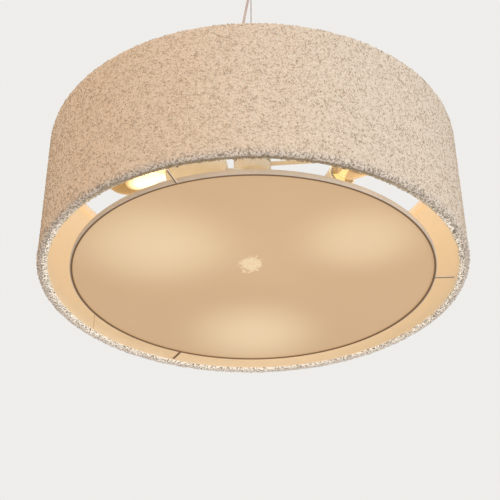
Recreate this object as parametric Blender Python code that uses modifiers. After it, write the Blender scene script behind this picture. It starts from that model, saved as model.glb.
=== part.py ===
"""A drum pendant lamp: a shade of looped wool over a pale lining, an opal disc across its lower rim,
and three clear bulbs in a pinwheel of lampholders, hung on one thin steel cable from a ceiling cup.

Metres, +Z up. The origin is where the lamp meets the ceiling, on the lamp's axis.
"""
import math

import bmesh
import bpy
from mathutils import Matrix, Vector

# Clearance between neighbouring pieces
GAP = 0.0003

# Whole lamp
DROP = 0.500
SHADE_STEPS = 48
ROUND_STEPS = 20
SMALL_STEPS = 14
SHARP_ANGLE = 35.0

# Shade
SHADE_RADIUS = 0.2235
SHADE_HEIGHT = 0.154
FABRIC_THICKNESS = 0.0061
FABRIC_EDGE_ROUND = 0.0028
HEM_WIDTH = 0.0101
HEM_RADIUS = SHADE_RADIUS - HEM_WIDTH
HEM_THICKNESS = 0.0006
HEM_LIP = 0.0022
TOP_BAND = 0.009
NOTCH_DEPTH = 0.008
LINING_THICKNESS = 0.0006
LINING_SEAM_ANGLE = 148.3
LINING_SEAM_WIDTH = 0.008
LINING_SEAM_STEP = 0.0004
FRAME_WIRE = 0.0014
FRAME_RING_RADIUS = SHADE_RADIUS - FABRIC_THICKNESS - GAP - FRAME_WIRE
SPIDER_ANGLES = (-5.0, 115.0, 235.0)
SPIDER_BAR_WIDTH = 0.007
SPIDER_BAR_THICKNESS = 0.0016
SPIDER_DISC_RADIUS = 0.0195
SPIDER_DISC_THICKNESS = 0.002
SPIDER_SINK = 0.0014

# Diffuser
DIFFUSER_EDGE_GAP = 0.0218
DIFFUSER_RADIUS = HEM_RADIUS - DIFFUSER_EDGE_GAP
DIFFUSER_UNDERSIDE = 0.0012
DIFFUSER_RIM_HEIGHT = 0.0054
DIFFUSER_RIM_WALL = 0.0016
DIFFUSER_LIP = 0.0017
DIFFUSER_LIP_THICKNESS = 0.0008
DIFFUSER_SHEET = 0.0025
STRUT_ANGLES = (-111.2, -0.5, 117.2)
STRUT_WIRE = 0.0012
STRUT_HEIGHT = 0.0026
STRUT_STRAIGHT = 0.0154
STRUT_SLOPE = 0.005
STRUT_BEND = 0.004

# Hub in the middle of the shade's top
HUB_RADIUS = 0.021
HUB_WALL = 0.0014
HUB_DROP = 0.0185
HUB_UNDERSIDE = SHADE_HEIGHT - HUB_DROP
HUB_CAP_HEIGHT = 0.0075
HUB_ROUND = 0.0025
STEM_RADIUS = 0.004
STEM_BORE = 0.0026
STOP_RADIUS = 0.0022
STOP_LENGTH = 0.0082
STOP_TOP = 0.0205
CABLE_TAIL = 0.0008
STEM_PROUD = 0.0012
NUT_RADIUS = 0.0064
NUT_HEIGHT = 0.003
HEX_TO_ROUND = math.cos(math.radians(30.0))
FINIAL_RADIUS = 0.0062
FINIAL_DEPTH = 0.0062
FINIAL_STRAIGHT = 0.002
FINIAL_FLOOR = 0.0022
FINIAL_TIP = ((0, -0.0008), (0.0020, -0.0006), (0.0045, 0.0004))
GROMMET_LENGTH = 0.0028
GROMMET_FLANGE = 0.0009
ARM_CIRCLE = 0.0115
ARM_INSIDE = 0.0065
CONNECTOR_SIZE = (0.009, 0.016, 0.007)
CONNECTOR_OFFSET = 0.011
CONNECTOR_LIFT = 0.007

# Lampholders, set like the vanes of a pinwheel
HOLDER_ANGLES = (174.6, 294.6, 54.6)
HOLDER_OFFSET = 0.0678
HOLDER_DROP = 0.0435
HOLDER_LEVEL = HUB_UNDERSIDE - HOLDER_DROP
HOLDER_TILT = 8.0
HOLDER_BACK = 0.021
HOLDER_MOUTH = 0.0822
HOLDER_RADIUS = 0.0148
HOLDER_WALL = 0.0008
HOLDER_END_ROUND = 0.007
HOLDER_END_WALL = 0.0015
ARM_RADIUS = 0.004
ARM_BEHIND = 0.014
ARM_SHOULDER = 0.0045
ARM_BENDS = (0.006, 0.0075)
INSERT_BACK = 0.044
INSERT_FLOOR = 0.051
INSERT_WALL = 0.0004
INSERT_SINK = 0.0006

# Bulbs
BULB_RADIUS = 0.030
BULB_CENTRE = 0.1276
BULB_NECK = 0.0125
BULB_NECK_STEP = 0.0005
BULB_SHOULDER = 0.0044
BULB_CAP_RADIUS = 0.013
BULB_CAP_WALL = 0.0006
BULB_CAP_TIP = 0.0545
BULB_CAP_EDGE = 0.0836
# Cap outlines as (radius, height over the tip)
BULB_CAP_OUTSIDE = ((0, 0), (0.0035, 0), (0.0048, 0.001), (0.009, 0.004))
BULB_CAP_SHOULDER = 0.007
BULB_CAP_FLOOR = 0.0055
BULB_CAP_INSIDE = (0.008, 0.0075)
BULB_GLASS_START = 0.068
BULB_GLASS_WALL = 0.0008
FILAMENT_COUNT = 4
FILAMENT_RADIUS = 0.0009
FILAMENT_FOOT = 0.097
FILAMENT_HEAD = 0.125
FILAMENT_SPREAD = 0.0105
FILAMENT_TURN = 45.0
FILAMENT_INSIDE = 0.0015
FILAMENT_SINK = 0.002
FILAMENT_ROOT = 0.0052
FILAMENT_HOOK = 0.0004
FILAMENT_HOOK_RISE = 0.0005
# Glass stem as (radius, height along the bulb)
STALK_FLARE = (0.001, 0.0025)
STALK_WAIST = (0.0055, 0.078)
STALK_NECK = (0.0030, 0.085)
PIN_RADIUS = 0.001
PIN_RISE = 0.0015

# Ceiling cup and its bracket
CUP_RADIUS = 0.055
CUP_DEPTH = 0.030
CUP_WALL = 0.0012
CUP_ROUND = 0.004
CUP_RIM_GAP = 0.0005
CUP_HOLE = 0.0042
STRAP_HALF_LENGTH = 0.0528
STRAP_WIDTH = 0.016
STRAP_THICKNESS = 0.002
STRAP_TAB = 0.016
SLOT_CENTRE = 0.042
SLOT_LENGTH = 0.010
SLOT_WIDTH = 0.005
SCREW_LEVEL = 0.011
SCREW_RADIUS = 0.0017
SCREW_HEAD_RADIUS = 0.0036
SCREW_HEAD_LENGTH = 0.002
SCREW_REACH = 0.010
BLOCK_SIZE = (0.016, 0.024, 0.0147)
BLOCK_CENTRE = -0.024

# Cable gripper and its ball seat
BALL_DEPTH = 0.023
BALL_RADIUS = 0.006
SEAT_RADIUS = 0.0082
CAP_WALL = 0.0008
CAP_LOW_ANGLE = 12.0
CAP_HIGH_ANGLE = 72.0
GRIP_NECK = 0.0025
GRIP_TOP = 0.0345
GRIP_BOTTOM = 0.056
GRIP_RADIUS = 0.0045
GRIP_BORE = 0.0034
GRIP_CAVITY_TOP = 0.043
PLUNGER_TOP = 0.050
PLUNGER_BOTTOM = 0.060
PLUNGER_FLANGE = 0.0012
SPRING_WIRE = 0.0003
SPRING_RADIUS = 0.0022
SPRING_TURNS = 4
SPRING_POINTS = 8

# Cable and flex
CABLE_RADIUS = 0.0006
CABLE_TOP = 0.014
CABLE_POINTS = 40
FLEX_RADIUS = 0.0015
FLEX_POINTS = 64
FLEX_HUB_OFFSET = 0.0115
FLEX_CUP_OFFSET = 0.014
GLAND_RADIUS = 0.0032
GLAND_FLANGE = 0.0042
GLAND_FLANGE_THICKNESS = 0.0014
GLAND_LENGTH = 0.0052
CLIP_SIZE = (0.0075, 0.006, 0.006)
CLIP_DEPTH = 0.082
CLIP_SPACING = 0.0026
FLEX_LEAD = 0.002
# Round the stem inside the hub: (x, y, height over the hub's underside)
FLEX_IN_HUB = (
    (0.0110, -0.0098, 0.0093),
    (0.0100, -0.0125, 0.0093),
    (0.0050, -0.0146, 0.0093),
    (-0.0020, -0.0146, 0.0093),
    (-0.0080, -0.0118, 0.0093),
    (-0.0110, -0.0066, 0.0101),
    (-0.0116, -0.0022, 0.0128),
    (-0.0115, -0.0003, 0.0163),
)
# Bowed beside the cable: (distance from the axis, share of the way from the hub to the clip)
FLEX_BOW = (
    (0.0122, 0.048),
    (0.0140, 0.165),
    (0.0156, 0.345),
    (0.0148, 0.566),
    (0.0118, 0.727),
    (0.0087, 0.837),
    (0.0038, 0.966),
)
# From the clip to the cup, and from the cup's gland to the block: (distance from the axis, depth)
FLEX_TO_CUP = (
    (0.0048, 0.0680),
    (0.0078, 0.0595),
    (0.0104, 0.0500),
    (0.0130, 0.0400),
)
FLEX_TO_BLOCK = (
    (0.0160, 0.0215),
    (0.0240, 0.0190),
)

PARTS = bpy.data.collections.new("drum_pendant_lamp")
CUTTERS = bpy.data.collections.new("cutters")


def level(height):
    """Height above the shade's lower rim, as the part's z."""
    return height - DROP


def finish(name, colour, roughness, metallic=0.0):
    """One material, kept for every piece that has it."""
    found = bpy.data.materials.get(name)
    if found:
        return found
    made = bpy.data.materials.new(name)
    made.use_nodes = True
    shader = made.node_tree.nodes["Principled BSDF"]
    shader.inputs["Base Color"].default_value = (*colour, 1.0)
    shader.inputs["Roughness"].default_value = roughness
    shader.inputs["Metallic"].default_value = metallic
    return made


def piece(name, mesh, material, matrix=None):
    """An object in the lamp's collection, smooth apart from its sharp edges."""
    made = bpy.data.objects.new(name, mesh)
    made.matrix_world = matrix or Matrix.Identity(4)
    mesh.materials.clear()
    mesh.materials.append(material)
    mesh.shade_smooth()
    mesh.set_sharp_from_angle(angle=math.radians(SHARP_ANGLE))
    PARTS.objects.link(made)
    return made


def baked(source):
    """The evaluated mesh of an object that is only a means to it."""
    PARTS.objects.link(source)
    graph = bpy.context.evaluated_depsgraph_get()
    mesh = bpy.data.meshes.new_from_object(source.evaluated_get(graph))
    bpy.data.objects.remove(source)
    return mesh


def turned_mesh(outline, steps):
    """The outline of (radius, height) points turned about Z. It runs down its outer side."""
    points = list(outline)
    following = points[1:] + points[:1]
    area = sum(a[0] * b[1] - b[0] * a[1] for a, b in zip(points, following))
    if area > 0:
        points.reverse()
    closed = points[0][0] > 0
    mesh = bpy.data.meshes.new("outline")
    edges = [(i, i + 1) for i in range(len(points) - 1)]
    if closed:
        edges.append((len(points) - 1, 0))
    mesh.from_pydata([(radius, 0, height) for radius, height in points], edges, [])
    source = bpy.data.objects.new("outline", mesh)
    screw = source.modifiers.new("turn", "SCREW")
    screw.steps = steps
    screw.render_steps = steps
    screw.use_merge_vertices = True
    screw.merge_threshold = 0.000001
    return baked(source)


def turned(name, outline, steps, material, matrix=None):
    return piece(name, turned_mesh(outline, steps), material, matrix)


def box_mesh(size, centre):
    shape = bmesh.new()
    bmesh.ops.create_cube(shape, size=1.0, matrix=Matrix.Translation(centre) @ Matrix.Diagonal((*size, 1.0)))
    mesh = bpy.data.meshes.new("box")
    shape.to_mesh(mesh)
    shape.free()
    return mesh


def rod_mesh(radius, start, end, steps=SMALL_STEPS):
    """A closed cylinder from one point to another."""
    start, end = Vector(start), Vector(end)
    along = end - start
    turn = along.to_track_quat("Z", "Y").to_matrix().to_4x4()
    shape = bmesh.new()
    place = Matrix.Translation((start + end) / 2) @ turn
    bmesh.ops.create_cone(shape, cap_ends=True, segments=steps, radius1=radius, radius2=radius,
                          depth=along.length, matrix=place)
    mesh = bpy.data.meshes.new("rod")
    shape.to_mesh(mesh)
    shape.free()
    return mesh


def tube_curve(name, points, radius, resolution=2, cyclic=False):
    """A tube along straight steps between the points."""
    curve = bpy.data.curves.new(name, "CURVE")
    curve.dimensions = "3D"
    curve.bevel_depth = radius
    curve.bevel_resolution = resolution
    curve.use_fill_caps = True
    line = curve.splines.new("POLY")
    line.points.add(len(points) - 1)
    for spot, point in zip(line.points, points):
        spot.co = (*point, 1.0)
    line.use_cyclic_u = cyclic
    return bpy.data.objects.new(name, curve)


def tube_mesh(points, radius, resolution=2, cyclic=False):
    mesh = baked(tube_curve("tube", points, radius, resolution, cyclic))
    shape = bmesh.new()
    shape.from_mesh(mesh)
    bmesh.ops.remove_doubles(shape, verts=shape.verts, dist=0.00001)
    shape.to_mesh(mesh)
    shape.free()
    return mesh


def change(target, mesh, operation, matrix=None):
    """Cut a mesh out of a piece, or join one to it."""
    tool = bpy.data.objects.new(f"{target.name}_{operation.lower()}", mesh)
    tool.matrix_world = matrix or Matrix.Identity(4)
    tool.hide_render = True
    tool.display_type = "WIRE"
    CUTTERS.objects.link(tool)
    step = target.modifiers.new(operation.lower(), "BOOLEAN")
    step.operation = operation
    step.solver = "EXACT"
    step.object = tool


def cut(target, mesh, matrix=None):
    change(target, mesh, "DIFFERENCE", matrix)


def join(target, mesh, matrix=None):
    change(target, mesh, "UNION", matrix)


def arc(centre, radius, start, end, steps):
    """Points (radius, height) along an arc, angles in degrees from outwards, turning upwards."""
    found = []
    for i in range(steps + 1):
        angle = math.radians(start + (end - start) * i / steps)
        found.append((centre[0] + radius * math.cos(angle), centre[1] + radius * math.sin(angle)))
    return found


def ring_outline(inner, outer, bottom, top):
    return [(inner, top), (outer, top), (outer, bottom), (inner, bottom)]


def polar(radius, degrees, z):
    angle = math.radians(degrees)
    return Vector((radius * math.cos(angle), radius * math.sin(angle), z))


def spline_route(points, count):
    """Evenly numbered points on a smooth curve through the given ones."""
    points = [Vector(point) for point in points]
    padded = [2 * points[0] - points[1], *points, 2 * points[-1] - points[-2]]
    fine = []
    for a, b, c, d in zip(padded, padded[1:], padded[2:], padded[3:]):
        for i in range(12):
            t = i / 12
            fine.append(0.5 * (2 * b + (c - a) * t + (2 * a - 5 * b + 4 * c - d) * t ** 2
                               + (3 * b - 3 * c + d - a) * t ** 3))
    fine.append(points[-1])
    lengths = [0.0]
    for a, b in zip(fine, fine[1:]):
        lengths.append(lengths[-1] + (b - a).length)
    route = []
    at = 0
    for i in range(count):
        wanted = lengths[-1] * i / (count - 1)
        while at < len(fine) - 2 and lengths[at + 1] < wanted:
            at += 1
        share = (wanted - lengths[at]) / (lengths[at + 1] - lengths[at])
        route.append(fine[at].lerp(fine[at + 1], share))
    return route


def rounded_route(points, radii, steps=5):
    """A line of straight lengths with an arc of the given radius at each inner corner."""
    points = [Vector(point) for point in points]
    route = [points[0]]
    for before, corner, after, radius in zip(points, points[1:], points[2:], radii):
        back = (before - corner).normalized()
        on = (after - corner).normalized()
        half = back.angle(on) / 2
        middle = corner + (back + on).normalized() * radius / math.sin(half)
        start = corner + back * radius / math.tan(half) - middle
        end = corner + on * radius / math.tan(half) - middle
        for i in range(steps + 1):
            route.append(middle + start.slerp(end, i / steps).normalized() * radius)
    route.append(points[-1])
    return route


WHITE_PAINT = finish("cream_paint", (0.90, 0.82, 0.66), 0.45)
STEEL = finish("bright_steel", (0.62, 0.61, 0.59), 0.28, 1.0)
BRASS = finish("brass", (0.76, 0.58, 0.30), 0.35, 1.0)
NYLON = finish("white_nylon", (0.86, 0.85, 0.80), 0.5)
CERAMIC = finish("white_ceramic", (0.88, 0.87, 0.83), 0.4)
CLEAR_JACKET = finish("clear_flex_jacket", (0.80, 0.66, 0.60), 0.25)
WOOL = finish("looped_wool", (0.72, 0.63, 0.50), 0.95)
LINING = finish("cream_lining", (0.88, 0.74, 0.50), 0.8)
OPAL = finish("opal_sheet", (0.86, 0.76, 0.58), 0.5)
GLASS = finish("clear_glass", (0.86, 0.74, 0.58), 0.05)
FILAMENT = finish("filament", (1.0, 0.80, 0.45), 0.4)


def build_ceiling_fitting():
    """Strap against the ceiling, the cup under it, its two side screws, and the terminal block."""
    strap = piece("ceiling_bracket", box_mesh((2 * STRAP_HALF_LENGTH, STRAP_WIDTH, STRAP_THICKNESS),
                                              (0, 0, -STRAP_THICKNESS / 2)), STEEL)
    tab_centre = STRAP_HALF_LENGTH - STRAP_THICKNESS / 2
    for side in (-1, 1):
        tab_size = (STRAP_THICKNESS, STRAP_WIDTH, STRAP_TAB)
        join(strap, box_mesh(tab_size, (side * tab_centre, 0, -STRAP_TAB / 2)))
        cut(strap, box_mesh((SLOT_LENGTH, SLOT_WIDTH, 4 * STRAP_THICKNESS), (side * SLOT_CENTRE, 0, 0)))
        cut(strap, rod_mesh(SCREW_RADIUS + GAP, (side * (tab_centre - STRAP_TAB / 2), 0, -SCREW_LEVEL),
                            (side * 2 * CUP_RADIUS, 0, -SCREW_LEVEL)))

    floor = -CUP_DEPTH
    inner = CUP_RADIUS - CUP_WALL
    outline = [(CUP_HOLE, floor)]
    outline += arc((CUP_RADIUS - CUP_ROUND, floor + CUP_ROUND), CUP_ROUND, -90, 0, 3)
    outline += [(CUP_RADIUS, -CUP_RIM_GAP), (inner, -CUP_RIM_GAP)]
    outline += arc((CUP_RADIUS - CUP_ROUND, floor + CUP_ROUND), CUP_ROUND - CUP_WALL, 0, -90, 3)
    outline += [(CUP_HOLE, floor + CUP_WALL)]
    cup = turned("canopy_cup", outline, 2 * SMALL_STEPS, WHITE_PAINT)
    gland_spot = -FLEX_CUP_OFFSET
    low, high = floor - CUP_WALL, floor + 2 * CUP_WALL
    cut(cup, rod_mesh(GLAND_RADIUS + GAP, (gland_spot, 0, low), (gland_spot, 0, high)))
    for side in (-1, 1):
        cut(cup, rod_mesh(SCREW_RADIUS + GAP, (side * (CUP_RADIUS - CUP_ROUND), 0, -SCREW_LEVEL),
                          (side * 2 * CUP_RADIUS, 0, -SCREW_LEVEL)))

    head_start = CUP_RADIUS + GAP
    for number, side in enumerate((-1, 1), 1):
        head_inner = (side * head_start, 0, -SCREW_LEVEL)
        head_outer = (side * (head_start + SCREW_HEAD_LENGTH), 0, -SCREW_LEVEL)
        shank_start = (side * (head_start + SCREW_HEAD_LENGTH / 2), 0, -SCREW_LEVEL)
        shank_end = (side * (head_start - SCREW_REACH), 0, -SCREW_LEVEL)
        screw = piece(f"canopy_screw_{number}", rod_mesh(SCREW_HEAD_RADIUS, head_inner, head_outer), STEEL)
        join(screw, rod_mesh(SCREW_RADIUS, shank_end, shank_start))

    block_top = -STRAP_THICKNESS - GAP
    piece("terminal_block", box_mesh(BLOCK_SIZE, (BLOCK_CENTRE, 0, block_top - BLOCK_SIZE[2] / 2)), CERAMIC)

    flange_top = floor - GAP
    bore = FLEX_RADIUS + GAP
    flange_low = flange_top - GLAND_FLANGE_THICKNESS
    outline = [(bore, flange_low), (GLAND_FLANGE, flange_low), (GLAND_FLANGE, flange_top),
               (GLAND_RADIUS, flange_top),
               (GLAND_RADIUS, flange_top + GLAND_LENGTH), (bore, flange_top + GLAND_LENGTH)]
    turned("canopy_gland", outline, SMALL_STEPS, NYLON, Matrix.Translation((gland_spot, 0, 0)))


def build_gripper():
    """Ball seat in the cup, and the cable gripper that swings in it, with its release plunger."""
    ball = -BALL_DEPTH
    socket = BALL_RADIUS + GAP
    low = ball - math.sqrt(socket ** 2 - CUP_HOLE ** 2)
    low_angle = math.degrees(math.atan2(low - ball, CUP_HOLE))
    base = -CUP_DEPTH + CUP_WALL + GAP
    outline = [(CUP_HOLE, base)]
    outline += arc((0, ball), socket, low_angle, -10, 5)
    outline += [(SEAT_RADIUS, outline[-1][1]), (SEAT_RADIUS, base)]
    turned("ball_seat", outline, SMALL_STEPS, NYLON)

    outline = arc((0, ball), socket, CAP_LOW_ANGLE, CAP_HIGH_ANGLE, 4)
    outline += arc((0, ball), socket + CAP_WALL, CAP_HIGH_ANGLE, CAP_LOW_ANGLE, 4)
    turned("swivel_cap", outline, SMALL_STEPS, NYLON)

    bore = CABLE_RADIUS + GAP
    top_angle = math.degrees(math.acos(bore / BALL_RADIUS))
    neck_angle = -math.degrees(math.acos(GRIP_NECK / BALL_RADIUS))
    outline = arc((0, ball), BALL_RADIUS, top_angle, neck_angle, 8)
    outline += [(GRIP_NECK, -GRIP_TOP), (GRIP_RADIUS, -GRIP_TOP), (GRIP_RADIUS, -GRIP_BOTTOM),
                (GRIP_BORE, -GRIP_BOTTOM), (GRIP_BORE, -GRIP_CAVITY_TOP), (bore, -GRIP_CAVITY_TOP)]
    turned("gripper_body", outline, SMALL_STEPS, BRASS)

    sleeve = GRIP_BORE - GAP
    flange_top = -PLUNGER_BOTTOM + PLUNGER_FLANGE
    outline = [(bore, -PLUNGER_TOP), (sleeve, -PLUNGER_TOP), (sleeve, flange_top), (GRIP_RADIUS, flange_top),
               (GRIP_RADIUS, -PLUNGER_BOTTOM), (bore, -PLUNGER_BOTTOM)]
    turned("gripper_plunger", outline, SMALL_STEPS, BRASS)

    top = -GRIP_CAVITY_TOP - GAP - SPRING_WIRE
    bottom = -PLUNGER_TOP + GAP + SPRING_WIRE
    points = []
    for i in range(SPRING_TURNS * SPRING_POINTS + 1):
        share = i / (SPRING_TURNS * SPRING_POINTS)
        points.append(polar(SPRING_RADIUS, 360 * share * SPRING_TURNS, top + (bottom - top) * share))
    spring = tube_curve("gripper_spring", points, SPRING_WIRE, 0)
    spring.data.materials.append(STEEL)
    PARTS.objects.link(spring)
    pitch = (top - bottom) / SPRING_TURNS
    print(f"spring: {SPRING_TURNS} turns, least gap between turns {1000 * (pitch - 2 * SPRING_WIRE):.2f} mm")


def hub_cap_top():
    return level(SHADE_HEIGHT) - SPIDER_SINK + GAP + HUB_CAP_HEIGHT


def flex_stations():
    """Where the flex runs: round the hub's stem, up through the cap, beside the cable, into the cup."""
    out = -FLEX_HUB_OFFSET
    up = -FLEX_CUP_OFFSET
    side = -CLIP_SPACING
    found = [(x, y, level(HUB_UNDERSIDE + rise)) for x, y, rise in FLEX_IN_HUB]
    leave = hub_cap_top() + 2 * FLEX_LEAD
    found += [(out, 0, hub_cap_top() - 2 * FLEX_LEAD), (out, 0, leave)]
    reach = CLIP_SIZE[2] / 2 + FLEX_LEAD
    meet = -CLIP_DEPTH - reach
    found += [(-away, 0, leave + share * (meet - leave)) for away, share in FLEX_BOW]
    found += [(side, 0, meet), (side, 0, -CLIP_DEPTH + reach)]
    found += [(-away, 0, -depth) for away, depth in FLEX_TO_CUP]
    found += [(up, 0, -CUP_DEPTH - FLEX_LEAD), (up, 0, -CUP_DEPTH + 2 * FLEX_LEAD)]
    return found + [(-away, 0, -depth) for away, depth in FLEX_TO_BLOCK]


def build_suspension():
    """The steel cable with its end stop, the flex, and the clip that holds them together."""
    top = -CABLE_TOP
    stop_top = HUB_UNDERSIDE + HUB_WALL + STOP_TOP
    bottom = level(stop_top - STOP_LENGTH - CABLE_TAIL)
    points = [(0, 0, top + (bottom - top) * i / (CABLE_POINTS - 1)) for i in range(CABLE_POINTS)]
    cable = tube_curve("steel_cable", points, CABLE_RADIUS)
    cable.data.materials.append(STEEL)
    PARTS.objects.link(cable)

    bore = CABLE_RADIUS + GAP
    turned("cable_stop", ring_outline(bore, STOP_RADIUS, level(stop_top - STOP_LENGTH), level(stop_top)),
           SMALL_STEPS, STEEL)

    route = spline_route(flex_stations(), FLEX_POINTS)
    flex = tube_curve("flex_cord", route, FLEX_RADIUS)
    flex.data.materials.append(CLEAR_JACKET)
    PARTS.objects.link(flex)
    length = sum((b - a).length for a, b in zip(route, route[1:]))
    print(f"flex length {1000 * length:.0f} mm")

    middle = -CLIP_SPACING / 2
    clip = piece("cable_clip", box_mesh(CLIP_SIZE, (middle, 0, -CLIP_DEPTH)), NYLON)
    low = -CLIP_DEPTH - CLIP_SIZE[2]
    high = -CLIP_DEPTH + CLIP_SIZE[2]
    for spot, radius in ((0, CABLE_RADIUS), (-CLIP_SPACING, FLEX_RADIUS)):
        cut(clip, rod_mesh(radius + GAP, (spot, 0, low), (spot, 0, high)))


def build_hub():
    """Cup, stem, cap and fastenings that clamp the shade's spider and carry the three arms."""
    floor = level(HUB_UNDERSIDE)
    disc_top = level(SHADE_HEIGHT) - SPIDER_SINK
    disc_bottom = disc_top - SPIDER_DISC_THICKNESS
    rim = disc_bottom - GAP
    stem_hole = STEM_RADIUS + GAP
    inner = HUB_RADIUS - HUB_WALL
    outline = [(stem_hole, floor)]
    outline += arc((HUB_RADIUS - HUB_ROUND, floor + HUB_ROUND), HUB_ROUND, -90, 0, 3)
    outline += [(HUB_RADIUS, rim), (inner, rim), (inner, floor + HUB_WALL), (stem_hole, floor + HUB_WALL)]
    cup = turned("hub_cup", outline, ROUND_STEPS, WHITE_PAINT)
    for angle in HOLDER_ANGLES:
        spot = polar(ARM_CIRCLE, arm_azimuth(angle), 0)
        low = Vector((spot.x, spot.y, floor - HUB_WALL))
        high = Vector((spot.x, spot.y, floor + 2 * HUB_WALL))
        cut(cup, rod_mesh(ARM_RADIUS + GAP, low, high))

    cap_bottom = disc_top + GAP
    cap_top = hub_cap_top()
    outline = [(inner, cap_bottom), (HUB_RADIUS, cap_bottom)]
    outline += arc((HUB_RADIUS - HUB_ROUND, cap_top - HUB_ROUND), HUB_ROUND, 0, 90, 3)
    outline += [(stem_hole, cap_top), (stem_hole, cap_top - HUB_WALL), (inner, cap_top - HUB_WALL)]
    cap = turned("hub_cap", outline, ROUND_STEPS, WHITE_PAINT)
    flex_spot = -FLEX_HUB_OFFSET
    low, high = cap_top - 2 * HUB_WALL, cap_top + HUB_WALL
    cut(cap, rod_mesh(GLAND_RADIUS + GAP, (flex_spot, 0, low), (flex_spot, 0, high)))

    flange = cap_top + GAP
    bore = FLEX_RADIUS + GAP
    low, high = flange - GROMMET_LENGTH, flange + GROMMET_FLANGE
    outline = [(bore, low), (GLAND_RADIUS, low), (GLAND_RADIUS, flange)]
    outline += [(GLAND_FLANGE, flange), (GLAND_FLANGE, high), (bore, high)]
    turned("hub_grommet", outline, SMALL_STEPS, NYLON, Matrix.Translation((flex_spot, 0, 0)))

    stem_top = cap_top + NUT_HEIGHT + STEM_PROUD
    stem_bottom = floor - FINIAL_DEPTH + FINIAL_FLOOR
    shoulder = level(HUB_UNDERSIDE + HUB_WALL + STOP_TOP) + GAP
    cable_bore = CABLE_RADIUS + GAP
    outline = [(cable_bore, stem_top), (STEM_RADIUS, stem_top), (STEM_RADIUS, stem_bottom),
               (STEM_BORE, stem_bottom), (STEM_BORE, shoulder), (cable_bore, shoulder)]
    turned("hub_stem", outline, SMALL_STEPS, STEEL)

    across = stem_hole / HEX_TO_ROUND
    turned("hub_nut", ring_outline(across, NUT_RADIUS, cap_top + GAP, cap_top + GAP + NUT_HEIGHT), 6, STEEL)

    top = floor - GAP
    bottom = floor - FINIAL_DEPTH
    outline = [(radius, bottom + rise) for radius, rise in FINIAL_TIP]
    outline += [(FINIAL_RADIUS, top - FINIAL_STRAIGHT), (FINIAL_RADIUS, top), (stem_hole, top)]
    outline += [(stem_hole, stem_bottom - GAP), (0, stem_bottom - GAP)]
    turned("hub_finial", outline, SMALL_STEPS, WHITE_PAINT)

    size = CONNECTOR_SIZE
    bottom = level(HUB_UNDERSIDE + CONNECTOR_LIFT)
    piece("hub_connector", box_mesh(size, (CONNECTOR_OFFSET, 0, bottom + size[2] / 2)), CERAMIC)


def holder_frame(angle):
    """Where a lampholder stands: its foot beside the axis, its own +Z along the holder towards the bulb."""
    turn = math.radians(angle)
    tilt = math.radians(HOLDER_TILT)
    flat = Vector((math.cos(turn), math.sin(turn), 0))
    side = Vector((-math.sin(turn), math.cos(turn), 0))
    along = flat * math.cos(tilt) + Vector((0, 0, math.sin(tilt)))
    across = along.cross(side)
    foot = side * HOLDER_OFFSET + Vector((0, 0, level(HOLDER_LEVEL)))
    return Matrix.Translation(foot) @ Matrix((side, across, along)).transposed().to_4x4()


def arm_azimuth(angle):
    """Direction from the lamp's axis in which the arm of a holder leaves the hub."""
    corner = holder_frame(angle) @ Vector((0, 0, HOLDER_BACK - ARM_BEHIND))
    return math.degrees(math.atan2(corner.y, corner.x))


def build_arm(number, angle):
    """Bent tube from the hub's floor, out and down, then round into the back of its holder."""
    frame = holder_frame(angle)
    corner = frame @ Vector((0, 0, HOLDER_BACK - ARM_BEHIND))
    end = frame @ Vector((0, 0, HOLDER_BACK + HOLDER_END_ROUND - GAP))
    azimuth = arm_azimuth(angle)
    top = polar(ARM_CIRCLE, azimuth, level(HUB_UNDERSIDE + ARM_INSIDE))
    shoulder = polar(ARM_CIRCLE, azimuth, level(HUB_UNDERSIDE - ARM_SHOULDER))
    route = rounded_route([top, shoulder, corner, end], ARM_BENDS)
    piece(f"arm_{number}", tube_mesh(route, ARM_RADIUS, 3), WHITE_PAINT)


def build_holder(number, angle):
    """Slim turned sleeve with a rounded back, and the threaded insert inside it."""
    frame = holder_frame(angle)
    hole = ARM_RADIUS + GAP
    centre = (HOLDER_RADIUS - HOLDER_END_ROUND, HOLDER_BACK + HOLDER_END_ROUND)
    inner_round = HOLDER_END_ROUND - HOLDER_WALL
    back_inside = HOLDER_BACK + HOLDER_END_WALL
    outline = [(hole, HOLDER_BACK)]
    outline += arc(centre, HOLDER_END_ROUND, -90, 0, 3)
    outline += [(HOLDER_RADIUS, HOLDER_MOUTH), (HOLDER_RADIUS - HOLDER_WALL, HOLDER_MOUTH)]
    outline += arc(centre, inner_round, 0, -65, 3)
    outline += [(centre[0], back_inside), (hole, back_inside)]
    turned(f"holder_sleeve_{number}", outline, ROUND_STEPS, WHITE_PAINT, frame)

    outer = HOLDER_RADIUS - HOLDER_WALL - GAP
    mouth = HOLDER_MOUTH - INSERT_SINK
    outline = [(0, INSERT_BACK), (outer, INSERT_BACK), (outer, mouth), (outer - INSERT_WALL, mouth)]
    outline += [(outer - INSERT_WALL, INSERT_FLOOR), (0, INSERT_FLOOR)]
    turned(f"holder_insert_{number}", outline, ROUND_STEPS, BRASS, frame)


def bulb_outline(globe, neck, start):
    """Neck, straight shoulder tangent to the globe, then the globe to its pole, as (radius, height)."""
    shoulder = (neck, BULB_CAP_EDGE + BULB_SHOULDER)
    away = math.hypot(shoulder[0], BULB_CENTRE - shoulder[1])
    from_axis = math.degrees(math.atan2(shoulder[0], BULB_CENTRE - shoulder[1]))
    touch = from_axis + math.degrees(math.acos(globe / away))
    points = [(neck - BULB_NECK_STEP, start), (neck - BULB_NECK_STEP, BULB_CAP_EDGE), shoulder]
    points += arc((0, BULB_CENTRE), globe, touch - 90, 90, 7)
    points[-1] = (0, BULB_CENTRE + globe)
    return points


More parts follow.
